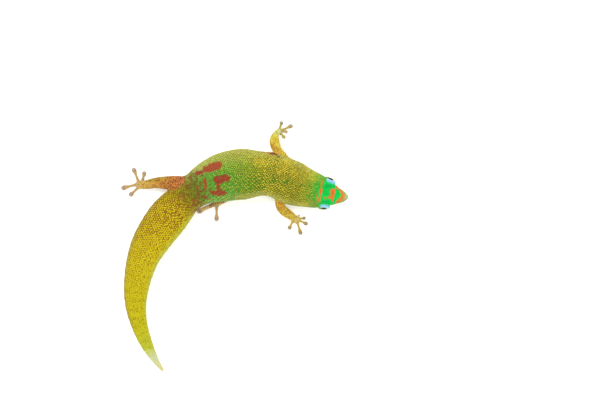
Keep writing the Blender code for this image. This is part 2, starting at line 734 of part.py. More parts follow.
def stand_on_origin():
    """Moves every mesh so that the middle of the footprint is the origin."""
    things = [thing for thing in bpy.data.objects if thing.type == "MESH"]
    spots = np.array([vert.co for thing in things for vert in thing.data.vertices])
    low, high = spots.min(axis=0), spots.max(axis=0)
    shift = Matrix.Translation((-(low[0] + high[0]) / 2, -(low[1] + high[1]) / 2, -low[2]))
    for thing in things:
        thing.data.transform(shift)


def main():
    for thing in list(bpy.data.objects):
        bpy.data.objects.remove(thing)
    make_head()
    make_eyes()
    make_trunk()
    make_limbs()
    stand_on_origin()


main()
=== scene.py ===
"""Gold dust day gecko, life size, at rest: its skin, its coat of fine scales and its eyes.

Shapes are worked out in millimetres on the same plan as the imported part, then set in the
part's frame in metres. Facing forward, left is the side towards +Y at the shoulders.
"""

import itertools
import math

import bmesh
import bpy
import numpy as np
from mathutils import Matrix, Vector, noise
from mathutils.bvhtree import BVHTree
from mathutils.kdtree import KDTree


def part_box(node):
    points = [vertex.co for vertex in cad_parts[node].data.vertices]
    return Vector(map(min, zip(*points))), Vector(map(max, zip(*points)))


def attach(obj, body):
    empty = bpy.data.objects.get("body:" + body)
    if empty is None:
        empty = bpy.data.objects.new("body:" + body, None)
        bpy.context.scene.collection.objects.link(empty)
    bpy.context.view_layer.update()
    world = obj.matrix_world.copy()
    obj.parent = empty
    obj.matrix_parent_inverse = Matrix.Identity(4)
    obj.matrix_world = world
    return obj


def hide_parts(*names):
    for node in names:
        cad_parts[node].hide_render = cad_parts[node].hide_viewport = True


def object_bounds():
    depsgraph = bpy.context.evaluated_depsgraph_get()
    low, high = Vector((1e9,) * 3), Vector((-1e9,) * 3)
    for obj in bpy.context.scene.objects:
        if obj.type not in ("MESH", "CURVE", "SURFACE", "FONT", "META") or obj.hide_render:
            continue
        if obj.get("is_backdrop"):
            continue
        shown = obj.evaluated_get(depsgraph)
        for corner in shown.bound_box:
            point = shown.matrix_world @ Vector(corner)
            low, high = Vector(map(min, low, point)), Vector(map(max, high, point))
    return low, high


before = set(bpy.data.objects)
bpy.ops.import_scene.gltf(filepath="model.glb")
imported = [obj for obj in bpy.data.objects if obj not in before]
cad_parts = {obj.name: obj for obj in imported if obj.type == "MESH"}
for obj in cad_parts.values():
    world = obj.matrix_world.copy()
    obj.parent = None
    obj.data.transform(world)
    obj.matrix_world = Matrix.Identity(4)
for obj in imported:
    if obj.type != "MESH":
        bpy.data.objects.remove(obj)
cad_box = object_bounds()


# Trunk
# Head, body and tail are one soft form on a bent backbone, of flesh under loose skin, pressed
# on the floor under the chest, belly and tail. It grows as one piece with no seam, so it is
# drawn as one tube of rings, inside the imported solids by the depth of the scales.

MM = 0.001
FLOOR = 0.0
SCALE_DEPTH = 0.11

# Where the snout is on the plan, and how far each rounded end stands out past its ring.
SNOUT = (40.3, 17.5)
SNOUT_DOME, TAIL_DOME = 0.55, 0.5

# Stations from the snout back. Columns: distance behind the snout, heading of the midline
# towards the tail in degrees, half width, height of the back, height of the underside, share of
# the height where the trunk is widest, and the powers of the upper and lower halves.
TRUNK = {
    "snout": (0.0, 173.0, 0.98, 3.95, 1.85, 0.45, 2.1, 2.1),
    "nostrils": (1.0, 172.4, 1.76, 4.60, 1.50, 0.44, 2.2, 2.2),
    "muzzle": (3.0, 170.5, 2.74, 5.50, 1.28, 0.42, 2.3, 2.3),
    "eye_fronts": (5.2, 168.3, 3.75, 6.45, 1.16, 0.40, 2.5, 2.3),
    "eyes": (7.2, 166.7, 4.65, 7.30, 1.10, 0.38, 2.7, 2.3),
    "temples": (10.0, 165.2, 5.80, 8.05, 1.02, 0.40, 2.5, 2.2),
    "jaw_corners": (13.0, 163.6, 6.55, 8.35, 0.95, 0.42, 2.3, 2.1),
    "nape": (16.0, 162.0, 7.25, 8.60, 0.85, 0.45, 2.2, 2.0),
    "throat": (20.0, 156.5, 7.90, 9.10, 0.40, 0.47, 2.2, 2.0),
    "shoulders": (25.0, 157.5, 7.75, 9.55, -0.30, 0.49, 2.2, 1.9),
    "ribs": (31.0, 178.0, 7.90, 9.95, -0.35, 0.50, 2.2, 1.8),
    "belly": (38.5, 184.6, 9.10, 10.45, -0.35, 0.50, 2.2, 1.75),
    "flank": (44.5, 193.3, 8.80, 10.20, -0.30, 0.50, 2.2, 1.75),
    "loins": (50.0, 203.4, 7.80, 9.40, 1.50, 0.50, 2.2, 1.8),
    "hips": (55.5, 213.9, 6.45, 8.10, 1.90, 0.47, 2.1, 1.9),
    "vent": (60.0, 220.7, 5.95, 7.00, 1.10, 0.44, 2.1, 2.1),
    "tail_root": (65.0, 227.0, 6.75, 6.60, -0.25, 0.42, 2.1, 2.3),
    "tail_broad": (70.5, 231.3, 7.25, 6.35, -0.30, 0.42, 2.1, 2.4),
    "tail_fore": (79.0, 237.5, 6.75, 5.85, -0.30, 0.42, 2.1, 2.4),
    "tail_middle": (89.0, 252.8, 5.50, 5.05, -0.25, 0.42, 2.1, 2.3),
    "tail_rear": (100.0, 266.0, 4.30, 4.05, -0.22, 0.42, 2.1, 2.2),
    "tail_slim": (110.0, 284.0, 3.10, 3.05, -0.20, 0.43, 2.0, 2.1),
    "tail_end": (120.0, 296.2, 2.05, 2.10, -0.16, 0.44, 2.0, 2.0),
    "tail_tip": (129.5, 308.0, 0.60, 0.85, -0.10, 0.46, 2.0, 2.0),
}

# Rings lie closer together on the head than behind it; each has this many steps a side.
HEAD_END = 16.4
HEAD_STEP, BODY_STEP = 0.16, 0.42
HALF_SIDES = 68
OUTLINE_POINTS = 361
SPINE_STEP = 0.1

# The tail is ringed by whorls of scales, each a little proud at its rear edge.
WHORL = 3.0
WHORL_RISE = 0.13
WHORLS_FROM, WHORLS_TO = 63.5, 121.0

# The closed mouth is a groove between two low lips: where it ends and fades, at what share of
# the height it runs, and the sizes of groove and lips where a side of the head is at least
# FULL_ARC long from crown to throat. Points crowd towards it, on the head and a little behind.
MOUTH_CORNER, MOUTH_FADE = 11.6, 1.4
MOUTH_SHARE = ((-1.0, 0.44), (1.0, 0.40), (4.0, 0.35), (8.0, 0.31), (12.0, 0.35), (16.0, 0.38))
MOUTH_DEPTH, MOUTH_WIDTH = 0.34, 0.11
LIP_RISE, LIP_OFFSET, LIP_WIDTH = 0.12, 0.44, 0.26
FULL_ARC = 7.0
CROWD_PAST, CROWD_FADE = 3.0, 6.0
CROWD, CROWD_REACH = 3.5, 0.55

# Soft rises and hollows of the head: distance, arc down from the crown, reach along and
# across, and how far they stand out.
HEAD_FORMS_TO = 18.0
HEAD_FORMS = {
    "brow": (7.4, 3.5, 2.3, 1.1, 0.34),
    "between_eyes": (6.4, 0.0, 2.6, 1.0, -0.10),
    "muzzle_ridge_front": (2.2, 1.75, 1.3, 0.42, 0.09),
    "muzzle_ridge_rear": (4.3, 2.6, 1.3, 0.45, 0.10),
    "muzzle_hollow": (4.0, 3.7, 1.5, 0.55, -0.14),
    "snout_top": (1.6, 0.0, 1.4, 0.7, 0.08),
    "temple": (11.4, 4.6, 2.2, 1.9, 0.16),
    "jaw_muscle": (11.8, 7.2, 1.8, 1.3, 0.14),
    "nape_furrow": (14.5, 0.0, 2.2, 0.9, -0.07),
}

# Loose skin folds on the flank that the body bends towards, and faint ones at the neck: where
# they start and end and on which side, and at what share of the way down they lie.
FOLD_LENGTH, FOLD_DEPTH = 1.7, 0.10
FOLD_DOWN, FOLD_REACH = 0.42, 0.17
FOLDS = {"right": (24.0, 41.0, -1), "left_neck": (16.5, 24.0, 1)}


def curve_through(knots, values, where):
    """Monotone cubic through the knots, read at where; values may have several columns."""
    x = np.asarray(knots, float)
    y = np.asarray(values, float).reshape(len(x), -1)
    step = np.diff(x)
    rise = np.diff(y, axis=0) / step[:, None]
    slope = np.zeros_like(y)
    slope[0], slope[-1] = rise[0], rise[-1]
    before, after = rise[:-1], rise[1:]
    weight_a = (2 * step[1:] + step[:-1])[:, None]
    weight_b = (step[1:] + 2 * step[:-1])[:, None]
    same_way = before * after > 0
    steady = np.where(same_way, before, 1.0), np.where(same_way, after, 1.0)
    slope[1:-1] = np.where(
        same_way, (weight_a + weight_b) / (weight_a / steady[0] + weight_b / steady[1]), 0.0
    )
    where = np.clip(np.atleast_1d(np.asarray(where, float)), x[0], x[-1])
    i = np.clip(np.searchsorted(x, where, side="right") - 1, 0, len(x) - 2)
    h = step[i][:, None]
    t = ((where - x[i]) / step[i])[:, None]
    return (
        y[i] * (1 + 2 * t) * (1 - t) ** 2
        + slope[i] * h * t * (1 - t) ** 2
        + y[i + 1] * t**2 * (3 - 2 * t)
        + slope[i + 1] * h * t**2 * (t - 1)
    )


TRUNK_ROWS = np.array(list(TRUNK.values()))
TRUNK_LENGTH = TRUNK_ROWS[-1, 0]
SPINE_DISTANCES = np.arange(0.0, TRUNK_LENGTH + SPINE_STEP, SPINE_STEP)
SPINE_HEADINGS = np.radians(
    curve_through(TRUNK_ROWS[:, 0], TRUNK_ROWS[:, 1], SPINE_DISTANCES)[:, 0]
)
SPINE_POINTS = np.array(SNOUT) + SPINE_STEP * np.cumsum(
    np.column_stack([np.cos(SPINE_HEADINGS), np.sin(SPINE_HEADINGS)]), axis=0
)


def spine(distance):
    """Midline point, direction to the tail and direction to the animal's left, in plan."""
    heading = np.interp(distance, SPINE_DISTANCES, SPINE_HEADINGS)
    to_tail = np.array([math.cos(heading), math.sin(heading)])
    to_left = np.array([to_tail[1], -to_tail[0]])
    point = np.array([np.interp(distance, SPINE_DISTANCES, SPINE_POINTS[:, k]) for k in (0, 1)])
    return point, to_tail, to_left


def section(sizes, angles):
    """Points across the trunk or a toe: sideways and up, at angles counted from the left."""
    half, back, under, share, upper, lower = sizes
    wide_at = under + share * (back - under)
    c, s = np.cos(angles), np.sin(angles)
    power = np.where(s >= 0, upper, lower)
    height = np.where(s >= 0, back - wide_at, wide_at - under)
    across = half * np.sign(c) * np.abs(c) ** (2 / power)
    up = wide_at + height * np.sign(s) * np.abs(s) ** (2 / power)
    return np.column_stack([across, np.maximum(up, FLOOR + SCALE_DEPTH)])


def bell(offset, reach):
    return np.exp(-((offset / reach) ** 2))


def arc_along(points):
    """Length along a line of points from its start to each of them."""
    return np.concatenate([[0.0], np.cumsum(np.linalg.norm(np.diff(points, axis=0), axis=1))])


def half_outline(distance):
    """One side of the trunk here, crown to belly, as points, arc lengths and outward normals."""
    sizes = curve_through(TRUNK_ROWS[:, 0], TRUNK_ROWS[:, 2:], distance)[0]
    sizes[:3] += -SCALE_DEPTH, -SCALE_DEPTH, SCALE_DEPTH
    if WHORLS_FROM < distance < WHORLS_TO:
        rise = WHORL_RISE * ((distance - WHORLS_FROM) / WHORL % 1.0 - 0.5)
        sizes[:2] += rise, rise / 2
    flat = section(sizes, np.radians(np.linspace(90, -90, OUTLINE_POINTS)))
    run = np.gradient(flat, axis=0)
    run /= np.linalg.norm(run, axis=1)[:, None] + 1e-12
    return sizes, flat, arc_along(flat), np.column_stack([-run[:, 1], run[:, 0]])


def relief(distance, arc, mouth_at, side):
    """How far the surface stands out at arcs down one side: lips, mouth, brows and folds."""
    out = np.zeros_like(arc)
    if distance < HEAD_FORMS_TO:
        for at, down, reach, width, rise in HEAD_FORMS.values():
            out += rise * bell(distance - at, reach) * bell(arc - down, width)
    if distance < MOUTH_CORNER:
        scale = min(1.0, arc[-1] / FULL_ARC)
        strength = scale * min(1.0, (MOUTH_CORNER - distance) / MOUTH_FADE)
        from_line = (arc - mouth_at) / scale
        out += strength * LIP_RISE * bell(np.abs(from_line) - LIP_OFFSET, LIP_WIDTH)
        out -= strength * MOUTH_DEPTH * bell(from_line, MOUTH_WIDTH)
    for start, end, bent_side in FOLDS.values():
        if side == bent_side and start < distance < end:
            envelope = math.sin(math.pi * (distance - start) / (end - start)) ** 2
            low = bell(arc - FOLD_DOWN * arc[-1], FOLD_REACH * arc[-1])
            wander = 0.5 * np.sin(arc * 0.6) + 0.35 * np.sin(arc * 1.3 + distance * 0.5)
            wave = np.sin(2 * math.pi * distance / FOLD_LENGTH + wander)
            out += FOLD_DEPTH * envelope * low * wave
    return out


def mouth_arc(distance, sizes, flat, arc):
    """Arc from the crown down to the line of the mouth."""
    share = curve_through(*zip(*MOUTH_SHARE), distance)[0, 0]
    level = sizes[2] + share * (sizes[1] - sizes[2])
    return float(np.interp(-level, -flat[:, 1], arc))


def side_points(distance, side):
    """Points down one side of the trunk, closer together at the line of the mouth."""
    sizes, flat, arc, normals = half_outline(distance)
    mouth_at = mouth_arc(distance, sizes, flat, arc)
    near_mouth = float(np.clip((HEAD_END + CROWD_PAST - distance) / CROWD_FADE, 0.0, 1.0))
    density = 1.0 + CROWD * near_mouth * bell(arc - mouth_at, CROWD_REACH)
    filled = np.concatenate([[0.0], np.cumsum((density[1:] + density[:-1]) / 2 * np.diff(arc))])
    places = np.interp(np.linspace(0.0, filled[-1], HALF_SIDES + 1), filled, arc)
    points = np.column_stack([np.interp(places, arc, flat[:, k]) for k in (0, 1)])
    normals = np.column_stack([np.interp(places, arc, normals[:, k]) for k in (0, 1)])
    points = points + normals * relief(distance, places, mouth_at, side)[:, None]
    points[[0, -1], 0] = 0.0
    return points * (side, 1)


def trunk_ring(distance):
    """Ring of points from the crown down the left side and up the right."""
    flat = np.vstack([side_points(distance, 1), side_points(distance, -1)[1:-1][::-1]])
    point, _, to_left = spine(distance)
    ring = np.column_stack([point + flat[:, :1] * to_left, flat[:, 1]])
    ring[:, 2] = np.maximum(ring[:, 2], FLOOR + SCALE_DEPTH)
    return ring


def dome(ring, reach, steps):
    """Rings that close a tube's end in a rounded tip, and the tip as a ring of one point."""
    middle, reach = ring.mean(axis=0), np.asarray(reach)
    turns = np.linspace(0, math.pi / 2, steps + 1)[1:-1]
    closing = [middle + (ring - middle) * math.cos(a) + reach * math.sin(a) for a in turns]
    closing.append(np.array([middle + reach]))
    for points in closing:
        points[:, 2] = np.maximum(points[:, 2], FLOOR + SCALE_DEPTH)
    return closing


def tube(name, rings, kind):
    """Closed mesh through rings, in millimetres; kind numbers what the surface belongs to."""
    starts = np.cumsum([0] + [len(ring) for ring in rings])
    faces = []
    for k, (near, far) in enumerate(zip(rings, rings[1:])):
        count = max(len(near), len(far))
        for a in range(count):
            b = (a + 1) % count
            corners = [starts[k] + a % len(near), starts[k] + b % len(near)]
            corners += [starts[k + 1] + b % len(far), starts[k + 1] + a % len(far)]
            faces.append(list(dict.fromkeys(corners)))
    for k in (0, len(rings) - 1):
        if len(rings[k]) > 1:
            faces.append(list(range(starts[k], starts[k + 1])))
    mesh = bpy.data.meshes.new(name)
    mesh.from_pydata(np.vstack(rings).tolist(), [], faces)
    return flesh_object(name, mesh, kind)


# What each part of the surface belongs to; the numbers are also its material slots while the
# pieces of flesh are joined.
KINDS = (
    "trunk arm_left arm_right leg_left thigh_right shank_right toe eye_mound ear nostril socket"
).split()
KIND = {name: number for number, name in enumerate(KINDS)}
kind_materials = [bpy.data.materials.new("kind_" + name) for name in KINDS]


def placed(name, data):
    """Object with this data, linked to the scene."""
    thing = bpy.data.objects.new(name, data)
    bpy.context.scene.collection.objects.link(thing)
    return thing


def flesh_object(name, mesh, kind):
    """Object of one kind of flesh, with its normals outward."""
    bm = bmesh.new()
    bm.from_mesh(mesh)
    bmesh.ops.recalc_face_normals(bm, faces=bm.faces)
    bm.to_mesh(mesh)
    bm.free()
    for material in kind_materials:
        mesh.materials.append(material)
    mesh.polygons.foreach_set("material_index", np.full(len(mesh.polygons), KIND[kind]))
    return placed(name, mesh)


head_places = np.arange(0.0, HEAD_END, HEAD_STEP)
body_places = np.arange(HEAD_END, TRUNK_LENGTH, BODY_STEP)
trunk_rings = [trunk_ring(at) for at in (*head_places, *body_places, TRUNK_LENGTH)]
nose_reach = (*(-(SNOUT_DOME - SCALE_DEPTH) * spine(0.0)[1]), -0.1)
tail_reach = (*((TAIL_DOME - SCALE_DEPTH) * spine(TRUNK_LENGTH)[1]), 0.0)
nose_rings = dome(trunk_rings[0], nose_reach, 7)
tail_rings = dome(trunk_rings[-1], tail_reach, 5)
trunk = tube("trunk", nose_rings[::-1] + trunk_rings + tail_rings, "trunk")


# Limbs
# Four short limbs of muscle on bone, held out to the sides and bent at elbow and knee. They
# grow out of the trunk with loose skin between; the right hind leg is folded on itself.

# Points along the bones: place, half width and half thickness.
LIMBS = {
    "arm_left": (
        (18.9, 27.6, 4.9, 2.40, 2.2), (17.5, 31.3, 4.5, 2.00, 1.8), (15.7, 33.9, 3.8, 1.70, 1.55),
        (14.7, 36.3, 3.1, 1.82, 1.6), (14.5, 38.0, 2.4, 1.72, 1.4), (14.8, 39.4, 1.75, 1.36, 1.1),
        (15.4, 40.5, 1.25, 1.05, 0.85),
    ),
    "arm_right": (
        (17.3, 20.6, 4.9, 2.45, 2.2), (16.7, 17.6, 4.3, 2.00, 1.8), (16.5, 15.2, 3.6, 1.76, 1.6),
        (17.2, 13.3, 3.0, 1.75, 1.6), (19.0, 11.8, 2.4, 1.68, 1.4), (20.4, 10.85, 1.8, 1.48, 1.15),
        (21.4, 10.1, 1.3, 1.30, 0.9),
    ),
    "leg_left": (
        (-13.0, 20.6, 4.1, 2.90, 2.3), (-16.9, 21.9, 4.1, 2.85, 2.5),
        (-20.4, 22.4, 4.0, 2.75, 2.4), (-24.3, 22.65, 3.3, 2.32, 2.1),
        (-27.7, 22.6, 2.6, 1.92, 1.7), (-30.3, 22.15, 1.85, 1.70, 1.35),
        (-32.2, 21.85, 1.35, 1.48, 1.0),
    ),
    "thigh_right": (
        (-9.0, 21.7, 3.5, 1.95, 1.8), (-6.2, 20.8, 3.1, 1.85, 1.7), (-3.2, 19.8, 2.7, 1.65, 1.5),
        (-1.0, 19.0, 2.3, 1.40, 1.3),
    ),
    "shank_right": (
        (-1.0, 18.3, 1.9, 1.25, 1.2), (-2.3, 17.4, 1.75, 1.40, 1.25), (-3.7, 16.6, 1.5, 1.35, 1.1),
        (-4.9, 15.9, 1.25, 1.20, 0.9),
    ),
}

# Palms: centre and half width.
PALMS = {
    "arm_left": ((16.2, 41.1), 1.12),
    "arm_right": ((22.3, 9.5), 1.45),
    "leg_left": ((-33.6, 21.9), 1.45),
    "shank_right": ((-6.1, 15.3), 1.3),
}
PALM_HEIGHT = 1.35
KNEE_DOME = 0.8
LIMB_SIDES, LIMB_STEPS, PALM_STEPS, LIMB_DOME_STEPS = 40, 8, 5, 6


def angles_round(sides):
    """Angles of evenly many points round a ring, from its top."""
    return math.pi / 2 + 2 * math.pi * np.arange(sides) / sides


def path_through(points, steps):
    """Smooth path through points of any number of columns, as evenly many steps a span."""
    p = np.asarray(points, float)
    p = np.vstack([2 * p[0] - p[1], p, 2 * p[-1] - p[-2]])
    out = []
    for a, b, c, d in zip(p, p[1:], p[2:], p[3:]):
        for t in np.arange(steps) / steps:
            bend = 2 * a - 5 * b + 4 * c - d
            out.append(0.5 * (2 * b + (c - a) * t + bend * t**2 + (3 * b - a - 3 * c + d) * t**3))
    out.append(p[-2])
    return np.array(out)


def limb_rings(points):
    """Rings along a limb, each an ellipse that stands across the bone."""
    path = path_through(points, LIMB_STEPS)
    run = np.gradient(path[:, :3], axis=0)
    run /= np.linalg.norm(run, axis=1)[:, None]
    aside = np.cross(run, (0.0, 0.0, 1.0))
    aside /= np.linalg.norm(aside, axis=1)[:, None]
    upward = np.cross(aside, run)
    angles = angles_round(LIMB_SIDES)[:, None]
    rings = []
    for row, side, up in zip(path, aside, upward):
        half, thick = row[3] - SCALE_DEPTH, row[4] - SCALE_DEPTH
        ring = row[:3] + half * np.cos(angles) * side + thick * np.sin(angles) * up
        ring[:, 2] = np.maximum(ring[:, 2], FLOOR + SCALE_DEPTH)
        rings.append(ring)
    return rings


def palm_rings(name, wrist):
    """Rings on from the wrist over the palm, and the tip that closes it."""
    centre, half = np.array(PALMS[name][0]), PALMS[name][1] - SCALE_DEPTH
    run = centre - wrist.mean(axis=0)[:2]
    run /= np.linalg.norm(run)
    aside = np.array([-run[1], run[0]])
    stages = [wrist.ravel()]
    for further, width, height in ((0.0, 1.0, 1.0), (0.5, 0.9, 0.8)):
        sizes = (half * width, PALM_HEIGHT * height - SCALE_DEPTH, 0.0, 0.45, 2.0, 2.0)
        flat = section(sizes, angles_round(LIMB_SIDES))
        middle = centre + run * further * half
        stages.append(np.column_stack([middle - flat[:, :1] * aside, flat[:, 1]]).ravel())
    rings = [row.reshape(-1, 3) for row in path_through(stages, PALM_STEPS)[1:]]
    return rings + dome(rings[-1], (*(run * 0.4 * half), -0.2), LIMB_DOME_STEPS)


def knee_rings(ring, neighbour):
    """Rings that round off a limb's end at a knee."""
    way = ring.mean(axis=0) - neighbour.mean(axis=0)
    return dome(ring, way / np.linalg.norm(way) * KNEE_DOME, LIMB_DOME_STEPS)


flesh = []
limb_tubes = {}
for name, points in LIMBS.items():
    rings = limb_rings(points)
    if name in ("thigh_right", "shank_right"):
        rings = knee_rings(rings[0], rings[1])[::-1] + rings
    if name in PALMS:
        rings = rings + palm_rings(name, rings[-1])
    else:
        rings = rings + knee_rings(rings[-1], rings[-2])
    limb_tubes[name] = [ring for ring in rings if len(ring) > 1]
    flesh.append(tube(name, rings, name))


# Toes
# Each hand and foot has four slender toes of skin and bone that end in broad flat pads, and
# the stub of a first toe, as all day geckos have. The pads' undersides, which on the animal
# carry the folds that cling, are drawn smooth and lie flat on the floor.

# Each toe's base, its end, its pad's half width and, if it isn't slender, the least share of
# that width that its neck keeps, by palm; the last one is the stub.
TOES = {
    "arm_left": (
        (16.5, 40.8, 18.2, 38.5, 0.66),
        (16.7, 41.0, 19.2, 40.8, 0.64),
        (16.6, 41.2, 21.05, 43.2, 0.74),
        (16.1, 41.4, 17.2, 44.65, 0.72),
        (16.4, 40.8, 16.9, 39.7, 0.42),
    ),
    "arm_right": (
        (22.7, 9.9, 25.65, 10.1, 0.62),
        (22.6, 9.5, 26.4, 7.8, 0.74),
        (22.4, 9.3, 24.0, 4.0, 0.76),
        (21.2, 9.3, 19.5, 5.95, 0.74),
        (22.6, 9.85, 23.4, 11.25, 0.42),
    ),
    "leg_left": (
        (-33.0, 22.5, -31.7, 26.8, 0.78),
        (-33.8, 22.5, -35.95, 28.1, 0.84),
        (-33.9, 22.3, -40.3, 20.6, 0.88),
        (-33.9, 21.2, -37.3, 17.9, 0.84),
        (-33.4, 22.25, -32.2, 24.2, 0.42),
    ),
    "shank_right": (
        (-6.1, 14.9, -6.2, 8.8, 0.84),
        (-6.6, 15.2, -13.2, 12.1, 0.95, 0.78),
        (-6.5, 15.7, -11.4, 19.0, 0.84),
        (-6.1, 15.8, -8.3, 20.2, 0.78),
        (-5.95, 15.65, -5.3, 17.2, 0.42),
    ),
}

# Along a toe: share of its length, share of the pad's half width, height of its top, underside.
TOE = (
    (0.00, 0.74, 1.10, 0.28),
    (0.25, 0.58, 0.92, 0.18),
    (0.48, 0.48, 0.80, 0.10),
    (0.62, 0.60, 0.74, -0.08),
    (0.76, 0.90, 0.70, -0.14),
    (0.88, 1.00, 0.64, -0.16),
    (0.96, 0.78, 0.56, -0.16),
)
TOE_SIDES, TOE_STEPS, TOE_DOME_STEPS = 20, 4, 5


def toe_rings(start, end, pad, neck=0.0):
    """Rings along a toe, pressed flat at its pad; its neck keeps a least share of the pad."""
    start, end = np.array(start), np.array(end)
    run = end - start
    length = np.linalg.norm(run)
    run /= length
    aside = np.array([-run[1], run[0]])
    rings = []
    for share, width, top, under in path_through(TOE, TOE_STEPS):
        width = max(width, neck) if share < 0.9 else width
        sizes = (pad * width - SCALE_DEPTH / 2, top - SCALE_DEPTH / 2, under, 0.45, 2.2, 2.2)
        flat = section(sizes, angles_round(TOE_SIDES))
        centre = start + run * share * (length - 0.3 * pad)
        rings.append(np.column_stack([centre + flat[:, :1] * aside, flat[:, 1]]))
    return rings + dome(rings[-1], (*(run * 0.46 * pad), -0.06), TOE_DOME_STEPS)


toe_tubes = []
for name, toes in TOES.items():
    for x, y, end_x, end_y, *sizes in toes:
        rings = toe_rings((x, y), (end_x, end_y), *sizes)
        toe_tubes.append([ring for ring in rings if len(ring) > 1])
        flesh.append(tube("toe", rings, "toe"))


# Eye mounds, ears and nostrils
# A day gecko has no lids that close: a rim of skin stands round each eyeball, with fine
# scales on its edge. The ear is an open hole behind the jaw, and the nostrils are small pits.

EYE = {"at": 7.3, "from_midline": 4.25, "height": 5.0, "radius": 1.6, "up": 14.0, "forward": 12.0}

# The mound round an eye is a ball cut off square this far out from the eye's centre.
MOUND_RADIUS, RIM_OUT, SOCKET_ROOM = 2.3, 1.1, 0.01
EYE_OPENING = math.sqrt((EYE["radius"] + SOCKET_ROOM) ** 2 - RIM_OUT**2)
EAR = {"at": 13.9, "share": 0.50, "half_height": 0.62, "half_length": 0.42, "depth": 0.7}
NOSTRIL = {"at": 0.75, "share": 0.74, "radius": 0.24}


def eye_place(side):
    """Centre of an eyeball and the way that the eye looks, in millimetres."""
    point, to_tail, to_left = spine(EYE["at"])
    centre = Vector((*(point + side * EYE["from_midline"] * to_left), EYE["height"]))
    forward, up = math.radians(EYE["forward"]), math.radians(EYE["up"])
    plan = side * to_left * math.cos(forward) - to_tail * math.sin(forward)
    return centre, Vector((*(plan * math.cos(up)), math.sin(up))).normalized()


def head_spot(distance, share, side):
    """Point on the side of the head at a share of its height, and the way out of the skin."""
    sizes, flat, arc, normals = half_outline(distance)
    k = int(np.argmin(np.abs(flat[:, 1] - sizes[2] - share * (sizes[1] - sizes[2]))))
    point, _, to_left = spine(distance)
    place = Vector((*(point + side * flat[k, 0] * to_left), flat[k, 1]))
    return place, Vector((*(side * normals[k, 0] * to_left), normals[k, 1])).normalized()


def set_out(bm, name, centre, way, kind):
    """Turns a shape's own Z to the given way, moves it to its centre and makes it flesh."""
    bmesh.ops.rotate(bm, matrix=way.to_track_quat("Z", "Y").to_matrix(), verts=bm.verts)
    bmesh.ops.translate(bm, vec=centre, verts=bm.verts)
    mesh = bpy.data.meshes.new(name)
    bm.to_mesh(mesh)
    bm.free()
    return flesh_object(name, mesh, kind)


def ball(name, centre, radii, way, segments, kind):
    """Ellipsoid whose own Z points the given way."""
    bm = bmesh.new()
    bmesh.ops.create_uvsphere(bm, u_segments=segments, v_segments=segments * 5 // 8, radius=1.0)
    bmesh.ops.scale(bm, vec=radii, verts=bm.verts)
    return set_out(bm, name, centre, way, kind)


def trim_disc(centre, way):
    """Thick disc that cuts a mound off square to the way that the eye looks."""
    bm = bmesh.new()
    radius, depth = MOUND_RADIUS + 0.4, MOUND_RADIUS - RIM_OUT + 0.3
    bmesh.ops.create_cone(
        bm, cap_ends=True, segments=48, radius1=radius, radius2=radius, depth=depth
    )
    return set_out(bm, "trim", centre + way * (RIM_OUT + depth / 2), way, "eye_mound")


openings = []
for side in (1, -1):
    centre, way = eye_place(side)
    mound = (MOUND_RADIUS - SCALE_DEPTH,) * 3
    flesh.append(ball("eye_mound", centre, mound, way, 72, "eye_mound"))
    openings.append(trim_disc(centre, way))
    socket = (EYE["radius"] + SOCKET_ROOM,) * 3
    openings.append(ball("socket", centre, socket, way, 56, "socket"))
    spot, out = head_spot(EAR["at"], EAR["share"], side)
    hole = (EAR["half_length"], EAR["half_height"], EAR["depth"])
    openings.append(ball("ear", spot, hole, out, 28, "ear"))
    spot, out = head_spot(NOSTRIL["at"], NOSTRIL["share"], side)
    openings.append(ball("nostril", spot, (NOSTRIL["radius"],) * 3, out, 16, "nostril"))


# Skin
# One loose skin covers the whole animal without a seam: thin, dry keratin over the flesh. The
# pieces of flesh are fused, then the skin is drawn smooth where limbs and toes leave the body.

# How far the skin is drawn smooth round a join, in millimetres: the first of these kinds that
# takes part in it says how far, or else it is where a limb leaves the body. The openings come
# last, once they are cut, in fewer passes.
JOIN_REACH = {
    "ear": 0.11, "nostril": 0.11, "toe": 0.55, "eye_mound": 0.75, "shank_right": 0.4,
}
LIMB_REACH = 1.7
OPENINGS = {"ear", "nostril"}
JOIN_PASSES, OPENING_PASSES, PASS_SHARE = 32, 8, 0.6
MERGE = 0.004


def fuse(thing, others, operation):
    """Boolean of one object with many others, applied, keeping the largest surface."""
    group = bpy.data.collections.new("pieces")
    bpy.context.scene.collection.children.link(group)
    for other in others:
        bpy.context.scene.collection.objects.unlink(other)
        group.objects.link(other)
    modifier = thing.modifiers.new("join", "BOOLEAN")
    modifier.operation = operation
    modifier.operand_type = "COLLECTION"
    modifier.collection = group
    modifier.solver = "EXACT"
    bpy.context.view_layer.update()
    graph = bpy.context.evaluated_depsgraph_get()
    thing.data = in_order(bpy.data.meshes.new_from_object(thing.evaluated_get(graph)))
    thing.modifiers.remove(modifier)
    for other in others:
        bpy.data.objects.remove(other)
    bpy.data.collections.remove(group)
    tidy_surface(thing.data)


def in_order(mesh):
    """The same surface with points and faces numbered by place, so that every run agrees."""
    points = np.array([vert.co for vert in mesh.vertices])
    order = np.lexsort(points.T)
    rank = np.empty(len(order), int)
    rank[order] = np.arange(len(order))
    faces = []
    for face in mesh.polygons:
        corners = rank[list(face.vertices)].tolist()
        lowest = corners.index(min(corners))
        faces.append((corners[lowest:] + corners[:lowest], face.material_index))
    faces.sort()
    ordered = bpy.data.meshes.new(mesh.name)
    ordered.from_pydata(points[order].tolist(), [], [corners for corners, _ in faces])
    for material in kind_materials:
        ordered.materials.append(material)
    ordered.polygons.foreach_set("material_index", [kind for _, kind in faces])
    return ordered


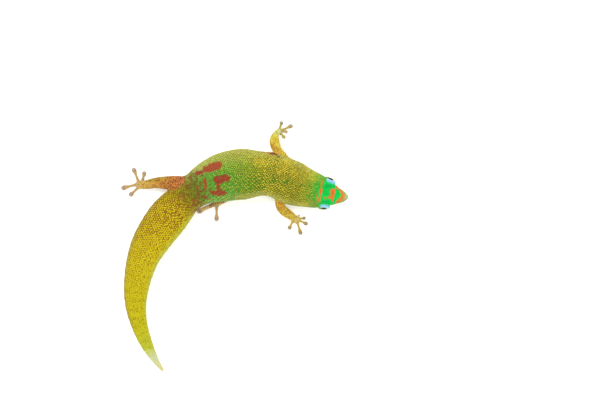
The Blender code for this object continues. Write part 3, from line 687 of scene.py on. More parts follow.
def tidy_surface(mesh):
    """Merges slivers, drops loose scraps and leaves triangles."""
    bm = bmesh.new()
    bm.from_mesh(mesh)
    bmesh.ops.remove_doubles(bm, verts=bm.verts, dist=MERGE)
    bmesh.ops.triangulate(bm, faces=bm.faces)
    unseen = set(bm.verts)
    groups = []
    while unseen:
        group, front = set(), [unseen.pop()]
        while front:
            vert = front.pop()
            group.add(vert)
            for edge in vert.link_edges:
                other = edge.other_vert(vert)
                if other in unseen:
                    unseen.remove(other)
                    front.append(other)
        groups.append(group)
    largest = max(groups, key=len)
    scraps = [v for group in groups if group is not largest for v in group]
    bmesh.ops.delete(bm, geom=scraps, context="VERTS")
    bm.to_mesh(mesh)
    bm.free()


def values_of(things, key, width=1, kind=float):
    """Array of one property of a mesh's points, edges or faces."""
    values = np.empty(len(things) * width, kind)
    things.foreach_get(key, values)
    return values.reshape(-1, width) if width > 1 else values


def mesh_arrays(mesh):
    """Points, triangles, edges and the kind of each triangle."""
    return (
        values_of(mesh.vertices, "co", 3), values_of(mesh.polygons, "vertices", 3, int),
        values_of(mesh.edges, "vertices", 2, int), values_of(mesh.polygons, "material_index", 1, int),
    )


def joins(corners, kinds):
    """Points where kinds meet, with the names of those kinds."""
    at_point = {}
    for triangle, kind in zip(corners.tolist(), kinds.tolist()):
        for vert in triangle:
            at_point.setdefault(vert, set()).add(KINDS[kind])
    return {vert: found for vert, found in at_point.items() if len(found) > 1}


def draw_smooth(mesh, only_openings):
    """Evens out the skin near the joins, most at the join and none past its reach."""
    points, corners, edges, kinds = mesh_arrays(mesh)
    weight = np.zeros(len(points))
    by_reach = {}
    for vert, found in joins(corners, kinds).items():
        if bool(found & OPENINGS) == only_openings:
            reach = next((r for name, r in JOIN_REACH.items() if name in found), LIMB_REACH)
            by_reach.setdefault(reach, []).append(vert)
    for reach, verts in by_reach.items():
        tree = KDTree(len(verts))
        for k, vert in enumerate(verts):
            tree.insert(points[vert], k)
        tree.balance()
        low, high = points[verts].min(axis=0) - reach, points[verts].max(axis=0) + reach
        near = np.flatnonzero(np.all((points > low) & (points < high), axis=1))
        for vert in near.tolist():
            share = 1.0 - tree.find(points[vert])[2] / reach
            if share > 0.0:
                weight[vert] = max(weight[vert], min(1.0, 2.0 * share))
    count = np.bincount(edges.ravel(), minlength=len(points))
    for _ in range(OPENING_PASSES if only_openings else JOIN_PASSES):
        total = np.zeros_like(points)
        for k in range(3):
            total[:, k] += np.bincount(edges[:, 0], points[edges[:, 1], k], len(points))
            total[:, k] += np.bincount(edges[:, 1], points[edges[:, 0], k], len(points))
        mean = total / np.maximum(count, 1)[:, None]
        points += (weight * PASS_SHARE)[:, None] * (mean - points)
    points[:, 2] = np.maximum(points[:, 2], FLOOR + 0.5 * SCALE_DEPTH)
    mesh.vertices.foreach_set("co", points.ravel())
    mesh.update()


skin = trunk
skin.name = "skin"
fuse(skin, flesh, "UNION")
draw_smooth(skin.data, only_openings=False)
fuse(skin, openings, "DIFFERENCE")
draw_smooth(skin.data, only_openings=True)
skin_points, skin_corners, _, skin_kinds = mesh_arrays(skin.data)


# Markings
# The colours lie in the skin and its scales alike: green head with orange bars, a back dusted
# with gold, three red blotches over the hips, an olive yellow tail freckled with rust and a
# pale tip. They are laid here, back to front, as named patches on the animal's own plan. Some
# painted shade goes with them: near black in the ear, nostril and eye holes and at the rim
# round each eyeball, and faint lines behind the tail's whorls.

PAINT = {
    "emerald": "#08b050",
    "leaf_green": "#02dc5c",
    "soft_green": "#3fae34",
    "rump_green": "#4f9a2c",
    "hip_green": "#60b046",
    "lime": "#83aa38",
    "olive": "#94963a",
    "flank": "#b6b95c",
    "belly": "#dcdcae",
    "throat": "#e4e6c4",
    "gold": "#e0ca3a",
    "lime_gold": "#c8cc3e",
    "amber": "#c48a22",
    "olive_dark": "#535c12",
    "orange": "#ee7432",
    "orange_pale": "#e2955c",
    "red": "#aa4c2e",
    "brick": "#9d4228",
    "wine": "#83281c",
    "rust": "#87560e",
    "umber": "#663c12",
    "tail_bright": "#d3c71a",
    "tail_lime": "#bcc01c",
    "tip_pale": "#ccd29e",
    "tip_yellow": "#dcd58c",
    "snout_pale": "#a6d892",
    "streak": "#a9e0b4",
    "sky": "#cdeef8",
    "sky_deep": "#8ccfe8",
    "limb_olive": "#8f9426",
    "limb_orange": "#c06a26",
    "limb_freckle": "#6c2c12",
    "limb_bright": "#deb04e",
    "bar": "#774520",
    "toe_olive": "#b8ab52",
    "toe_grey": "#a79e84",
    "toe_sand": "#c9b054",
    "toe_dun": "#a4946a",
    "toe_tan": "#c8a970",
    "toe_pale": "#eacc96",
    "pad_grey": "#b49880",
    "pad_light": "#cdbca4",
    # Painted shade: near black inside the ear, nostril and eye holes and at the rim's edge round each
    # eyeball.
    "painted_deep_shade": "#33211c",
}

# The back's ground colour by distance behind the snout, how thickly gold dust lies on it and
# how thickly rust freckles do.
GROUND = (
    (0.0, "#74d66e"), (1.5, "#05cf54"), (9.0, "#10c646"), (11.0, "#3eaa34"), (12.5, "#5a9c2a"),
    (14.5, "#70921e"), (17.5, "#6f7e18"), (29.0, "#6a7d15"), (34.0, "#608c1a"), (39.0, "#62992a"),
    (46.0, "#5ca632"), (51.0, "#60a236"), (54.5, "#66942e"), (58.0, "#81841e"), (62.0, "#a6940e"),
    (68.0, "#c3ae06"), (85.0, "#c4b006"), (104.0, "#bbad08"), (112.0, "#b9b20e"),
    (121.0, "#babf34"), (130.0, "#babf34"),
)
DUST = (
    (10.5, 0.0), (13.0, 0.26), (17.0, 0.37), (32.0, 0.38), (38.0, 0.33), (43.0, 0.24), (48.0, 0.11),
    (53.0, 0.06), (58.0, 0.0),
)
RUST = (
    (49.0, 0.0), (53.0, 0.34), (60.0, 0.50), (66.0, 0.56), (72.0, 0.52), (78.0, 0.40), (86.0, 0.28),
    (94.0, 0.19), (103.0, 0.12), (112.0, 0.04), (120.0, 0.0),
)

# Marks on the trunk: colour, softness of the edge, and the points that the mark runs through:
# distance behind the snout, offset to the left and half width there, in millimetres.
MARKS = (
    ("snout_pale", 0.5, ((-0.4, 0.6, 0.9), (-0.3, -0.1, 1.0), (0.0, -0.9, 0.8))),
    ("emerald", 1.0, ((8.0, 2.5, 0.45), (6.6, 2.9, 0.35))),
    ("emerald", 1.0, ((7.7, -3.2, 0.25), (6.4, -2.9, 0.25))),
    ("streak", 0.2, ((4.5, 3.6, 0.2), (3.9, 2.5, 0.12))),
    ("orange", 0.16, (
        (4.26, 3.17, 0.28), (3.58, 2.95, 0.34), (2.74, 2.32, 0.44), (2.0, 1.53, 0.52),
        (1.69, 0.68, 0.56), (1.72, -0.35, 0.50), (2.23, -1.19, 0.46), (2.85, -2.07, 0.48),
        (3.28, -2.73, 0.28),
    )),
    ("orange_pale", 0.3, ((0.89, 1.05, 0.2), (0.75, -0.6, 0.26), (1.2, -1.43, 0.3))),
    ("orange", 0.2, (
        (5.25, 1.35, 0.86), (5.2, 0.5, 0.92), (5.1, -0.2, 0.66), (4.91, -1.04, 0.52),
        (4.69, -2.3, 0.30),
    )),
    ("orange", 0.2, ((4.9, 1.6, 0.40), (4.35, 2.69, 0.26))),
    ("orange", 0.2, ((5.4, -1.05, 0.30), (6.2, -1.06, 0.40))),
    ("rust", 0.2, ((5.12, 0.86, 0.16), (5.15, 0.8, 0.16))),
    ("amber", 0.35, ((9.7, 3.9, 0.26), (9.86, 2.8, 0.36), (9.66, 1.9, 0.40))),
    ("orange", 0.25, ((9.55, 0.9, 0.34), (9.46, 0.25, 0.56), (9.36, -0.95, 0.36))),
    ("orange", 0.25, ((9.3, -1.7, 0.28), (9.25, -2.4, 0.36), (9.2, -3.2, 0.34))),
    ("amber", 0.4, ((7.3, -1.7, 0.34), (7.5, -1.75, 0.34))),
    ("amber", 0.5, ((10.7, -0.8, 0.2), (10.35, -2.6, 0.3))),
    ("red", 0.3, ((45.97, 4.42, 1.50), (47.76, 4.56, 1.40), (49.3, 4.45, 1.30))),
    ("brick", 0.3, ((43.9, -0.7, 1.20), (46.0, -0.55, 1.45), (47.8, 0.0, 1.10))),
    ("brick", 0.3, ((47.3, -1.5, 0.92), (48.1, -3.2, 0.80))),
    ("brick", 0.3, (
        (46.1, -5.5, 0.75), (46.8, -5.4, 0.90), (48.7, -4.9, 1.20), (50.6, -3.9, 0.85),
        (51.5, -3.2, 0.3),
    )),
    ("brick", 0.4, ((51.3, 4.4, 0.62), (52.8, 4.8, 0.50))),
    ("wine", 0.3, ((51.5, 3.3, 0.34), (51.9, 3.3, 0.34))),
    ("red", 0.3, ((51.5, 1.5, 0.46), (51.9, 0.1, 0.60), (52.7, -1.5, 0.52))),
    ("red", 0.3, ((55.2, 0.2, 0.40), (55.3, 0.3, 0.40))),
    ("wine", 0.3, ((54.6, -1.7, 0.30), (54.7, -1.7, 0.30))),
    ("red", 0.3, ((53.4, -5.2, 0.34), (54.3, -4.0, 0.34))),
    ("wine", 0.3, ((54.1, 2.4, 0.26), (54.2, 2.4, 0.26))),
    ("red", 0.3, ((58.1, -3.5, 0.34), (58.0, -3.4, 0.34))),
    ("wine", 0.4, ((29.9, 7.75, 0.22), (28.3, 7.2, 0.44), (27.0, 6.7, 0.30))),
    ("red", 0.4, ((33.0, 8.0, 0.12), (29.5, 7.6, 0.22))),
)
BACK_LINE = (
    (13.0, 1.2, 0.4), (17.6, 0.4, 0.5), (20.0, -0.1, 0.5), (22.1, -1.0, 0.55), (25.5, -1.9, 0.5),
    (30.7, -3.2, 0.4), (35.4, -4.0, 0.3),
)
TIP_FROM = 121.0


def linear(hex_colour):
    """Linear colour of an sRGB hex value."""
    parts = [int(hex_colour[k : k + 2], 16) / 255 for k in (1, 3, 5)]
    return np.array([p / 12.92 if p <= 0.04045 else ((p + 0.055) / 1.055) ** 2.4 for p in parts])


def ramp(value, start, end):
    """Smooth rise from 0 at start to 1 at end."""
    t = np.clip((value - start) / (end - start), 0.0, 1.0)
    return t * t * (3 - 2 * t)


def mottle(spots, size, seed):
    """Soft noise from 0 to 1 with features of a size in millimetres."""
    shift = Vector((seed * 17.3, seed * 5.1, seed * 11.7))
    return np.array([noise.noise(Vector(p) / size + shift) for p in spots.tolist()]) * 0.5 + 0.5


def on_plan(spots):
    """Distance behind the snout and offset to the left of points on the trunk."""
    knots = SPINE_DISTANCES[::5]
    middles, headings = SPINE_POINTS[::5], SPINE_HEADINGS[::5]
    distance, offset = np.empty(len(spots)), np.empty(len(spots))
    for start in range(0, len(spots), 4000):
        part = spots[start : start + 4000, :2]
        gap = part[:, None, :] - middles[None, :, :]
        nearest = (gap**2).sum(axis=2).argmin(axis=1)
        away = part - middles[nearest]
        way = np.column_stack([np.cos(headings[nearest]), np.sin(headings[nearest])])
        distance[start : start + 4000] = knots[nearest] + (away * way).sum(axis=1)
        offset[start : start + 4000] = away[:, 0] * way[:, 1] - away[:, 1] * way[:, 0]
    return distance, offset


def band(distance, offset, points, soft):
    """1 inside a rounded mark through points of their own half width, 0 past its soft edge."""
    outside = np.full(len(distance), np.inf)
    for (a, b, near), (c, d, far) in zip(points, points[1:]):
        run, rise = c - a, d - b
        t = np.clip(((distance - a) * run + (offset - b) * rise) / (run**2 + rise**2), 0.0, 1.0)
        gap = np.hypot(distance - a - t * run, offset - b - t * rise) - near - t * (far - near)
        outside = np.minimum(outside, gap)
    return 1.0 - ramp(outside, -soft / 2, soft / 2)


def lay(colours, name, cover):
    """Lays a named colour over others by a cover from 0 to 1."""
    cover = np.clip(cover, 0.0, 1.0)[:, None]
    colours += cover * (linear(PAINT[name]) - colours)


def read(table, where):
    """Value of a table of (distance, value) at distances."""
    return np.interp(where, [row[0] for row in table], [row[1] for row in table])


def shades_along(table, where):
    """Linear colour at places along a table of (place, hex value)."""
    shades = np.array([linear(row[1]) for row in table])
    return np.column_stack([np.interp(where, [row[0] for row in table], c) for c in shades.T])


def chosen(picks, cover):
    """A cover where a scale is picked, none elsewhere."""
    return np.where(picks, cover, 0.0)


def trunk_colours(spots, normals, chance):
    """Colours on head, body and tail: d and o are the plan's distance and offset, roughened so
    that no mark has a drawn edge."""
    distance, offset = on_plan(spots)
    fine, broad = mottle(spots, 0.75, 1), mottle(spots, 2.4, 2)
    clumps = mottle(spots, 1.3, 7)
    ragged = 0.6 + 0.6 * ramp(distance, 14.0, 30.0)
    d, o = distance + ragged * (fine - 0.5), offset + ragged * (mottle(spots, 0.8, 3) - 0.5)
    half = curve_through(TRUNK_ROWS[:, 0], TRUNK_ROWS[:, 2], distance)[:, 0]
    across = np.abs(offset) / half
    colours = shades_along(GROUND, distance)

    # Clouded green of the head, duller cheeks and nape, pale flanks, green behind them.
    head = 1 - ramp(distance, 9.0, 12.0)
    lay(colours, "leaf_green", 0.6 * head * ramp(broad, 0.45, 0.62) * ramp(distance, 0.5, 2.0))
    nape = ramp(d, 10.5, 12.5) * (1 - ramp(d, 13.5, 17.0))
    lay(colours, "soft_green", 0.55 * nape * ramp(broad, 0.48, 0.56))
    cheek = ramp(d, 8.3, 10.2) * (1 - ramp(distance, 15.0, 18.0))
    lay(colours, "lime", 0.75 * cheek * ramp(o / half, 0.3, 0.7))
    lay(colours, "olive", 0.7 * cheek * ramp(-o / half, 0.4, 0.75))
    body = ramp(distance, 13.0, 17.0) * (1 - ramp(distance, 50.0, 60.0))
    left = ramp(offset / half, 0.25, 0.7) * (0.25 + 0.42 * ramp(distance, 28.0, 38.0))
    lay(colours, "flank", body * left)
    lay(colours, "flank", body * ramp(across, 0.66, 0.92) * 0.9)
    lay(colours, "flank", 0.6 * ramp(distance, 10.0, 14.0) * ramp(across, 0.72, 0.95))
    right_hip = ramp(distance, 39.0, 45.0) * (1 - ramp(distance, 53.0, 57.0))
    right_hip *= ramp(-offset / half, 0.35, 0.7) * ramp(spots[:, 2], 3.4, 4.6)
    lay(colours, "hip_green", 0.7 * right_hip)
    on_line = band(d, o, BACK_LINE, 0.9)
    lay(colours, "rump_green", 0.35 * on_line)

    # Gold dust, thickest left of the middle, greener to the rear, with dark scales between.
    dust = read(DUST, distance) * (0.55 + 0.9 * broad)
    dust *= (1 - 0.3 * on_line) * (1 - 0.3 * ramp(across, 0.75, 0.95))
    dust *= 1 + 0.35 * ramp(offset / half, 0.0, 0.5)
    dust *= 1 - 0.4 * ramp(distance, 23.0, 35.0) * ramp(-offset / half, -0.1, 0.4)
    greener = ramp(distance, 31.0, 41.0)
    lay(colours, "gold", chosen(chance < dust, 0.92) * (1 - greener))
    lay(colours, "lime_gold", chosen(chance < dust, 0.92 - 0.2 * greener) * greener)
    lay(colours, "amber", chosen(chance < dust * 0.30, 0.55))
    shadow = ramp(distance, 12.0, 18.0) * (1 - ramp(distance, 46.0, 56.0))
    shadow *= 0.28 + 0.08 * ramp(-offset / half, 0.1, 0.5)
    lay(colours, "olive_dark", chosen(chance > 1 - shadow, 0.8))

    # Rust freckles of hips and tail, clumped over the hips and faint at the rear; at the end, a
    # faint line of painted shade in the rust colour behind each step between the tail's whorls.
    hips = ramp(distance, 51.0, 54.0) * (1 - ramp(distance, 60.0, 67.0))
    edge = np.where(offset > 0, 0.25, 0.75) * ramp(across, 0.62, 0.92)
    rust = read(RUST, distance) * (0.5 + fine) * (1 - edge) * (1 - 0.5 * hips)
    rust *= 1 + 0.5 * ramp(distance, 70.0, 80.0) * (ramp(offset / half, -0.3, 0.5) - 0.4)
    lay(colours, "rust", chosen(chance < rust, 0.85 - 0.35 * ramp(distance, 74.0, 92.0)))
    lay(colours, "umber", chosen(chance < rust * 0.30, 0.45))
    clumped = 0.12 + 0.62 * ramp(clumps, 0.46, 0.58)
    lay(colours, "wine", chosen((chance < clumped * hips) & (broad > 0.5), 0.7))
    lay(colours, "umber", chosen((chance < clumped * hips) & (broad < 0.5), 0.55))
    lay(colours, "olive_dark", chosen(chance > 1 - 0.24 * hips, 0.55))
    tail = ramp(distance, 60.0, 68.0) * (1 - ramp(distance, 112.0, 119.0))
    lay(colours, "tail_bright", tail * chosen(chance > 0.70, 0.6))
    lay(colours, "tail_lime", 0.5 * ramp(distance, 60.0, 66.0) * ramp(-offset / half, 0.72, 0.95))
    lay(colours, "rust", 0.36 * tail * ramp(offset / half, 0.62, 0.95))
    # Painted shade: a faint darker line just behind each step where a whorl's raised rear edge drops
    # to the next.
    ringed = ramp(distance, 78.0, 88.0) * (1 - ramp(distance, 116.0, 120.0))
    behind_edge = (distance - WHORLS_FROM) / WHORL % 1.0
    lay(colours, "rust", 0.13 * ringed * (1 - ramp(behind_edge, 0.08, 0.2)))

    # Drawn marks, the pale tip, throat and underside, and the rims round the eyes.
    top = ramp(normals[:, 2], -0.05, 0.2)
    for name, soft, points in MARKS:
        lay(colours, name, 0.94 * top * band(d, o, points, soft))
    lay(colours, "wine", chosen(chance > 0.60, 0.5) * red_cover(d, o))

    past = d + 0.25 * offset - TIP_FROM
    lay(colours, "tip_pale", ramp(past, -0.25, 0.25))
    lay(colours, "tail_lime", 0.6 * ramp(past, -0.1, 0.1) * (1 - ramp(past, 0.4, 3.4)))
    lay(colours, "tip_yellow", 0.75 * ramp(distance, 124.5, 129.0))
    jaw = 1 - ramp(distance, 12.0, 18.0)
    height = spots[:, 2]
    lay(colours, "flank", 0.5 * jaw * (1 - ramp(height, 3.4, 4.6)))
    lay(colours, "throat", jaw * (1 - ramp(height, 2.3, 3.3)))
    lay(colours, "belly", (1 - jaw) * (1 - ramp(normals[:, 2], -0.55, -0.15)))
    for side in (1, -1):
        centre, way = eye_place(side)
        from_eye = spots - np.array(centre)
        out = from_eye @ np.array(way)
        aside = np.linalg.norm(from_eye - out[:, None] * np.array(way), axis=1)
        tilted = from_eye[:, 2] - 0.85 * (from_eye[:, :2] @ spine(EYE["at"])[1])
        upper = ramp(tilted / np.maximum(aside, 0.1), 0.2, 0.6)
        rim = ramp(out, 0.0, 0.4) * (1 - ramp(aside, 2.05, 2.35))
        lay(colours, "lime", rim * (1 - upper) * 0.8)
        lay(colours, "sky_deep", rim * upper)
        lay(colours, "sky", rim * upper * (1 - ramp(aside, 1.65, 2.1)))
    return colours


def red_cover(d, o):
    """Cover of all the red blotches together."""
    covers = [band(d, o, points, soft) for name, soft, points in MARKS if name in ("red", "brick")]
    return np.max(covers, axis=0)


# Ground colours along each limb from the trunk (0) to the end of its palm (1).
LIMB_GROUND = {
    "arm_left": (
        (0.10, "#d2b43e"), (0.27, "#dacc44"), (0.53, "#d8d04a"), (0.72, "#cfcc74"),
        (0.9, "#ced6a6"),
    ),
    "arm_right": (
        (0.10, "#c89434"), (0.27, "#d4b038"), (0.5, "#d6c041"), (0.72, "#d2ba50"), (0.9, "#dac680"),
    ),
    "leg_left": (
        (0.10, "#ca6c46"), (0.30, "#c67e3c"), (0.50, "#cc9c44"), (0.66, "#cea84c"),
        (0.9, "#caae66"),
    ),
    "thigh_right": ((0.0, "#a5622f"), (1.0, "#b98a44")),
    "shank_right": ((0.0, "#c4a25c"), (1.0, "#d8bc7c")),
}

# How thickly dark freckles lie along each limb.
LIMB_FRECKLES = {
    "arm_left": ((0.1, 0.20), (0.5, 0.08), (0.8, 0.03)),
    "arm_right": ((0.1, 0.30), (0.5, 0.22), (0.8, 0.10)),
    "leg_left": ((0.1, 0.44), (0.35, 0.46), (0.6, 0.24), (0.8, 0.12)),
    "thigh_right": ((0.0, 0.3), (1.0, 0.2)),
    "shank_right": ((0.0, 0.2), (1.0, 0.1)),
}

# Marks on the limbs, by their place on the plan and their half width.
LIMB_MARKS = (
    ("limb_orange", 0.5, ((12.9, 37.4, 0.25), (13.7, 35.2, 0.50), (15.3, 33.2, 0.40))),
    ("limb_orange", 0.6, ((16.9, 16.8, 0.55), (16.9, 15.0, 0.40))),
    ("limb_orange", 0.6, ((19.2, 12.6, 0.25), (20.0, 12.0, 0.25))),
    ("limb_olive", 0.7, ((15.0, 17.0, 0.25), (15.0, 14.0, 0.30), (17.4, 11.8, 0.30))),
    ("limb_olive", 0.8, ((-23.2, 24.3, 0.60), (-26.5, 24.2, 0.90), (-31.0, 23.3, 0.60))),
    ("limb_orange", 0.6, ((-17.0, 19.6, 0.5), (-20.0, 20.0, 0.4))),
)
BARS = {"from": (-3.5, 16.2), "to": (-11.5, 14.0), "every": 0.74, "half_width": 0.62}

# Colours of each toe and of its pad's edge, by limb, in the order of the toes.
TOE_TONES = {
    "arm_left": (
        ("toe_tan", "toe_sand"), ("toe_sand", "toe_tan"), ("toe_olive", "pad_grey"),
        ("toe_olive", "toe_grey"), ("toe_olive", "toe_olive"),
    ),
    "arm_right": (("toe_sand", "toe_dun"),) * 4 + (("toe_sand", "toe_sand"),),
    "leg_left": (("toe_tan", "pad_grey"),) * 5,
    "shank_right": (
        ("toe_tan", "pad_grey"), ("toe_pale", "pad_grey"), ("toe_tan", "pad_grey"),
        ("toe_tan", "pad_grey"), ("toe_tan", "pad_grey"),
    ),
}


def bars(spots):
    """Cover of the brown bars along the edge of the folded foot."""
    start, end = np.array(BARS["from"]), np.array(BARS["to"])
    way = (end - start) / np.linalg.norm(end - start)
    away = spots[:, :2] - start
    along = away @ way
    aside = np.abs(away[:, 0] * way[1] - away[:, 1] * way[0])
    inside = (along > 0) & (along < np.linalg.norm(end - start)) & (aside < BARS["half_width"])
    return inside * ramp(np.sin(2 * math.pi * along / BARS["every"]), 0.0, 0.5)


def limb_colours(spots, normals, chance, name):
    """Colours on a limb, by the share of the way along it."""
    middles = np.array([ring.mean(axis=0) for ring in limb_tubes[name]])
    gap = spots[:, None, :] - middles[None, :, :]
    along = (gap**2).sum(axis=2).argmin(axis=1) / (len(middles) - 1)
    fine, broad = mottle(spots, 0.7, 4), mottle(spots, 1.7, 5)
    colours = shades_along(LIMB_GROUND[name], along)
    x, y = spots[:, 0] + 0.7 * (fine - 0.5), spots[:, 1] + 0.7 * (broad - 0.5)
    for colour, soft, points in LIMB_MARKS:
        lay(colours, colour, 0.55 * band(x, y, points, soft))
    lay(colours, "limb_orange", 0.35 * (1 - ramp(along, 0.5, 0.8)) * ramp(broad, 0.5, 0.62))
    clumps = ramp(mottle(spots, 0.55, 8), 0.40, 0.60)
    lay(colours, "limb_bright", chosen(chance > 0.55, 0.5) * (1 - clumps))
    freckles = read(LIMB_FRECKLES[name], along) * (0.25 + 1.5 * clumps)
    lay(colours, "limb_freckle", chosen(chance < freckles, 0.68))
    lay(colours, "bar", 0.75 * bars(spots))
    lay(colours, "belly", 0.8 * (1 - ramp(normals[:, 2], -0.7, -0.3)))
    return colours


def toe_colours(spots, normals, chance):
    """Colours on the toes, each with its own tone, and greyer on the pads."""
    rows = np.array([toe[:5] for toes in TOES.values() for toe in toes])
    tones = [pair for pairs in TOE_TONES.values() for pair in pairs]
    starts, ends, pads = rows[:, :2], rows[:, 2:4], rows[:, 4]
    ways = (ends - starts) / np.linalg.norm(ends - starts, axis=1)[:, None]
    centres = ends - 0.45 * pads[:, None] * ways
    gaps = np.sqrt(((spots[:, None, :2] - centres[None]) ** 2).sum(axis=2))
    nearest = gaps.argmin(axis=1)
    gap = gaps.min(axis=1) / pads[nearest]
    colours = np.empty((len(spots), 3))
    for k, (toe, pad) in enumerate(tones):
        own = nearest == k
        part = np.tile(linear(PAINT[toe]), (own.sum(), 1))
        lay(part, pad, 1 - ramp(gap[own], 0.9, 1.8))
        colours[own] = part
    lay(colours, "pad_light", 0.65 * (1 - ramp(gap, 0.25, 0.8)))
    fine = mottle(spots, 0.5, 6)
    lay(colours, "umber", 0.14 * ramp(fine, 0.45, 0.75) + chosen(chance < 0.15, 0.22))
    lay(colours, "bar", 0.8 * bars(spots))
    lay(colours, "throat", 0.5 * (1 - ramp(normals[:, 2], -0.7, -0.3)))
    return colours


def markings(spots, normals, kinds, chance):
    """Linear colours of points on the skin or of scales on it."""
    colours = np.empty((len(spots), 3))
    for name in KINDS:
        own = kinds == KIND[name]
        if not own.any():
            continue
        args = spots[own], normals[own], chance[own]
        if name in ("trunk", "eye_mound"):
            colours[own] = trunk_colours(*args)
        elif name in LIMBS:
            colours[own] = limb_colours(*args, name)
        elif name == "toe":
            colours[own] = toe_colours(*args)
        # Ears, nostrils and eye sockets: painted shade, near black inside the holes.
        else:
            colours[own] = linear(PAINT["painted_deep_shade"])
    return colours


def point_kinds(count, corners, kinds):
    """Kind of each point, by the triangles round it."""
    votes = np.zeros((count, len(KINDS)), int)
    for k in range(3):
        np.add.at(votes, (corners[:, k], kinds), 1)
    return votes.argmax(axis=1)


def store_tint(mesh, colours):
    layer = mesh.color_attributes.new("tint", "FLOAT_COLOR", "POINT")
    layer.data.foreach_set("color", np.column_stack([colours, np.ones(len(colours))]).ravel())


def add_node(tree, kind, inputs, **settings):
    """Adds a node with its settings, and its inputs as values or as links from other sockets."""
    made = tree.nodes.new(kind)
    for name, value in settings.items():
        setattr(made, name, value)
    for key, value in inputs.items():
        if isinstance(value, bpy.types.NodeSocket):
            tree.links.new(value, made.inputs[key])
        else:
            made.inputs[key].default_value = value
    return made


def noise_of(tree, place, size, low, high, **more):
    """Noise with features of a size in millimetres, as it is and spread from low to high."""
    inputs = {"Vector": place, "Scale": 1 / (size * MM), "Detail": 2.0}
    spread = {"To Min": low, "To Max": high}
    for key, value in more.items():
        (spread if key.startswith("From") else inputs)[key.replace("_", " ")] = value
    cloud = add_node(tree, "ShaderNodeTexNoise", inputs).outputs["Fac"]
    return cloud, add_node(tree, "ShaderNodeMapRange", {"Value": cloud, **spread}).outputs["Result"]


def new_material(name):
    """Material, its tree, its shader, and the place on the object for its patterns."""
    made = bpy.data.materials.new(name)
    made.use_nodes = True
    tree = made.node_tree
    place = add_node(tree, "ShaderNodeTexCoord", {}).outputs["Object"]
    return made, tree, tree.nodes["Principled BSDF"].inputs, place


# How far a mottle's lightness and a sheen's roughness go to either side of their means.
MOTTLE, SHEEN_SPREAD = 0.07, 0.08


def keratin(name, roughness, pore, depth, lightness):
    """Satin keratin: dry skin or scale, grown in thin horny layers. Its colour is the marking
    of the place with a faint mottle, and fine pores break up its sheen."""
    made, tree, shader, place = new_material(name)
    tint = add_node(tree, "ShaderNodeAttribute", {}, attribute_name="tint").outputs["Color"]
    _, value = noise_of(
        tree, place, 0.9, lightness - MOTTLE, lightness + MOTTLE,
        Detail=3.0, Roughness=0.6, From_Min=0.3, From_Max=0.7,
    )
    shaded = add_node(tree, "ShaderNodeHueSaturation", {"Value": value, "Color": tint})
    pores, sheen = noise_of(tree, place, pore, roughness - SHEEN_SPREAD, roughness + SHEEN_SPREAD)
    bump = add_node(
        tree, "ShaderNodeBump", {"Height": pores, "Distance": depth * MM, "Strength": 0.6}
    )
    tree.links.new(shaded.outputs["Color"], shader["Base Color"])
    tree.links.new(sheen, shader["Roughness"])
    tree.links.new(bump.outputs["Normal"], shader["Normal"])
    shader["Specular IOR Level"].default_value = 0.13
    return made


# Between the scales the skin is darker than they are.
SKIN_LIGHTNESS, SCALE_LIGHTNESS = 0.74, 1.0
# Width of the band of painted shade on the rim's edge against each eyeball.
RIM_SHADE_FROM, RIM_SHADE_TO = 0.06, 0.12
skin_rng = np.random.default_rng(11)
skin_colours = markings(
    skin_points,
    values_of(skin.data.vertices, "normal", 3),
    point_kinds(len(skin_points), skin_corners, skin_kinds),
    skin_rng.uniform(0.3, 0.8, len(skin_points)),
)
# The rim's edge against the eyeball is bare of scales and painted dark: painted shade in the crease
# where the rim meets the eyeball.
for side in (1, -1):
    centre, way = (np.array(v) for v in eye_place(side))
    out = (skin_points - centre) @ way
    aside = np.linalg.norm(skin_points - centre - out[:, None] * way, axis=1)
    rim_shade = 1 - ramp(aside, EYE_OPENING + RIM_SHADE_FROM, EYE_OPENING + RIM_SHADE_TO)
    lay(skin_colours, "painted_deep_shade", (out > 0.6) * rim_shade)
store_tint(skin.data, skin_colours)

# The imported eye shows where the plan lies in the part's frame.
eye_low, eye_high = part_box("eye_left")
FRAME_SHIFT = (np.array(eye_low) + np.array(eye_high)) / 2 - np.array(eye_place(1)[0]) * MM


def only_material(mesh, material):
    """Gives every face of a mesh one material."""
    mesh.materials.clear()
    mesh.materials.append(material)
    mesh.polygons.foreach_set("material_index", np.zeros(len(mesh.polygons), int))


def set_in_frame(thing, material):
    """Takes a mesh from millimetres on the plan to metres in the part's frame."""
    mesh = thing.data
    points = values_of(mesh.vertices, "co", 3) * MM + FRAME_SHIFT
    mesh.vertices.foreach_set("co", points.ravel())
    only_material(mesh, material)
    mesh.shade_smooth()
    mesh.update()
    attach(thing, "root")


SKIN_NODES = [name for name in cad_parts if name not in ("eye_left", "eye_right")]
skin_tree = BVHTree.FromPolygons(skin_points.tolist(), skin_corners.tolist())
set_in_frame(skin, keratin("skin_between_scales", 0.55, 0.08, 0.012, SKIN_LIGHTNESS))
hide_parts(*SKIN_NODES)


# Scales
# The coat is fine beads of keratin that grow from the skin in staggered rows: smallest on the
# head and toes, rounder on the back, larger and flatter in rings on the tail. Each is a low
# dome sunk in the skin at its rim, and takes the marking of the place that it grows from.

# Spacing of the scales on the trunk by distance behind the snout.
TRUNK_SPACING = (
    (0.0, 0.30), (4.0, 0.32), (8.0, 0.29), (14.0, 0.31), (20.0, 0.38), (30.0, 0.44),
    (52.0, 0.44), (60.0, 0.47), (66.0, 0.50), (100.0, 0.50), (115.0, 0.45), (129.5, 0.32),
)
LIMB_SPACING, TOE_SPACING, END_SPACING = 0.37, 0.24, 0.27

# Shares of the spacing: from row to row, a scale's half length, its unevenness and the room
# that it needs. A scale is sunk by a share of its height.
ROW_SHARE, SCALE_REACH, JITTER, CROWDED = 0.866, 0.60, 0.08, 0.62
SUNK_SHARE = 0.25

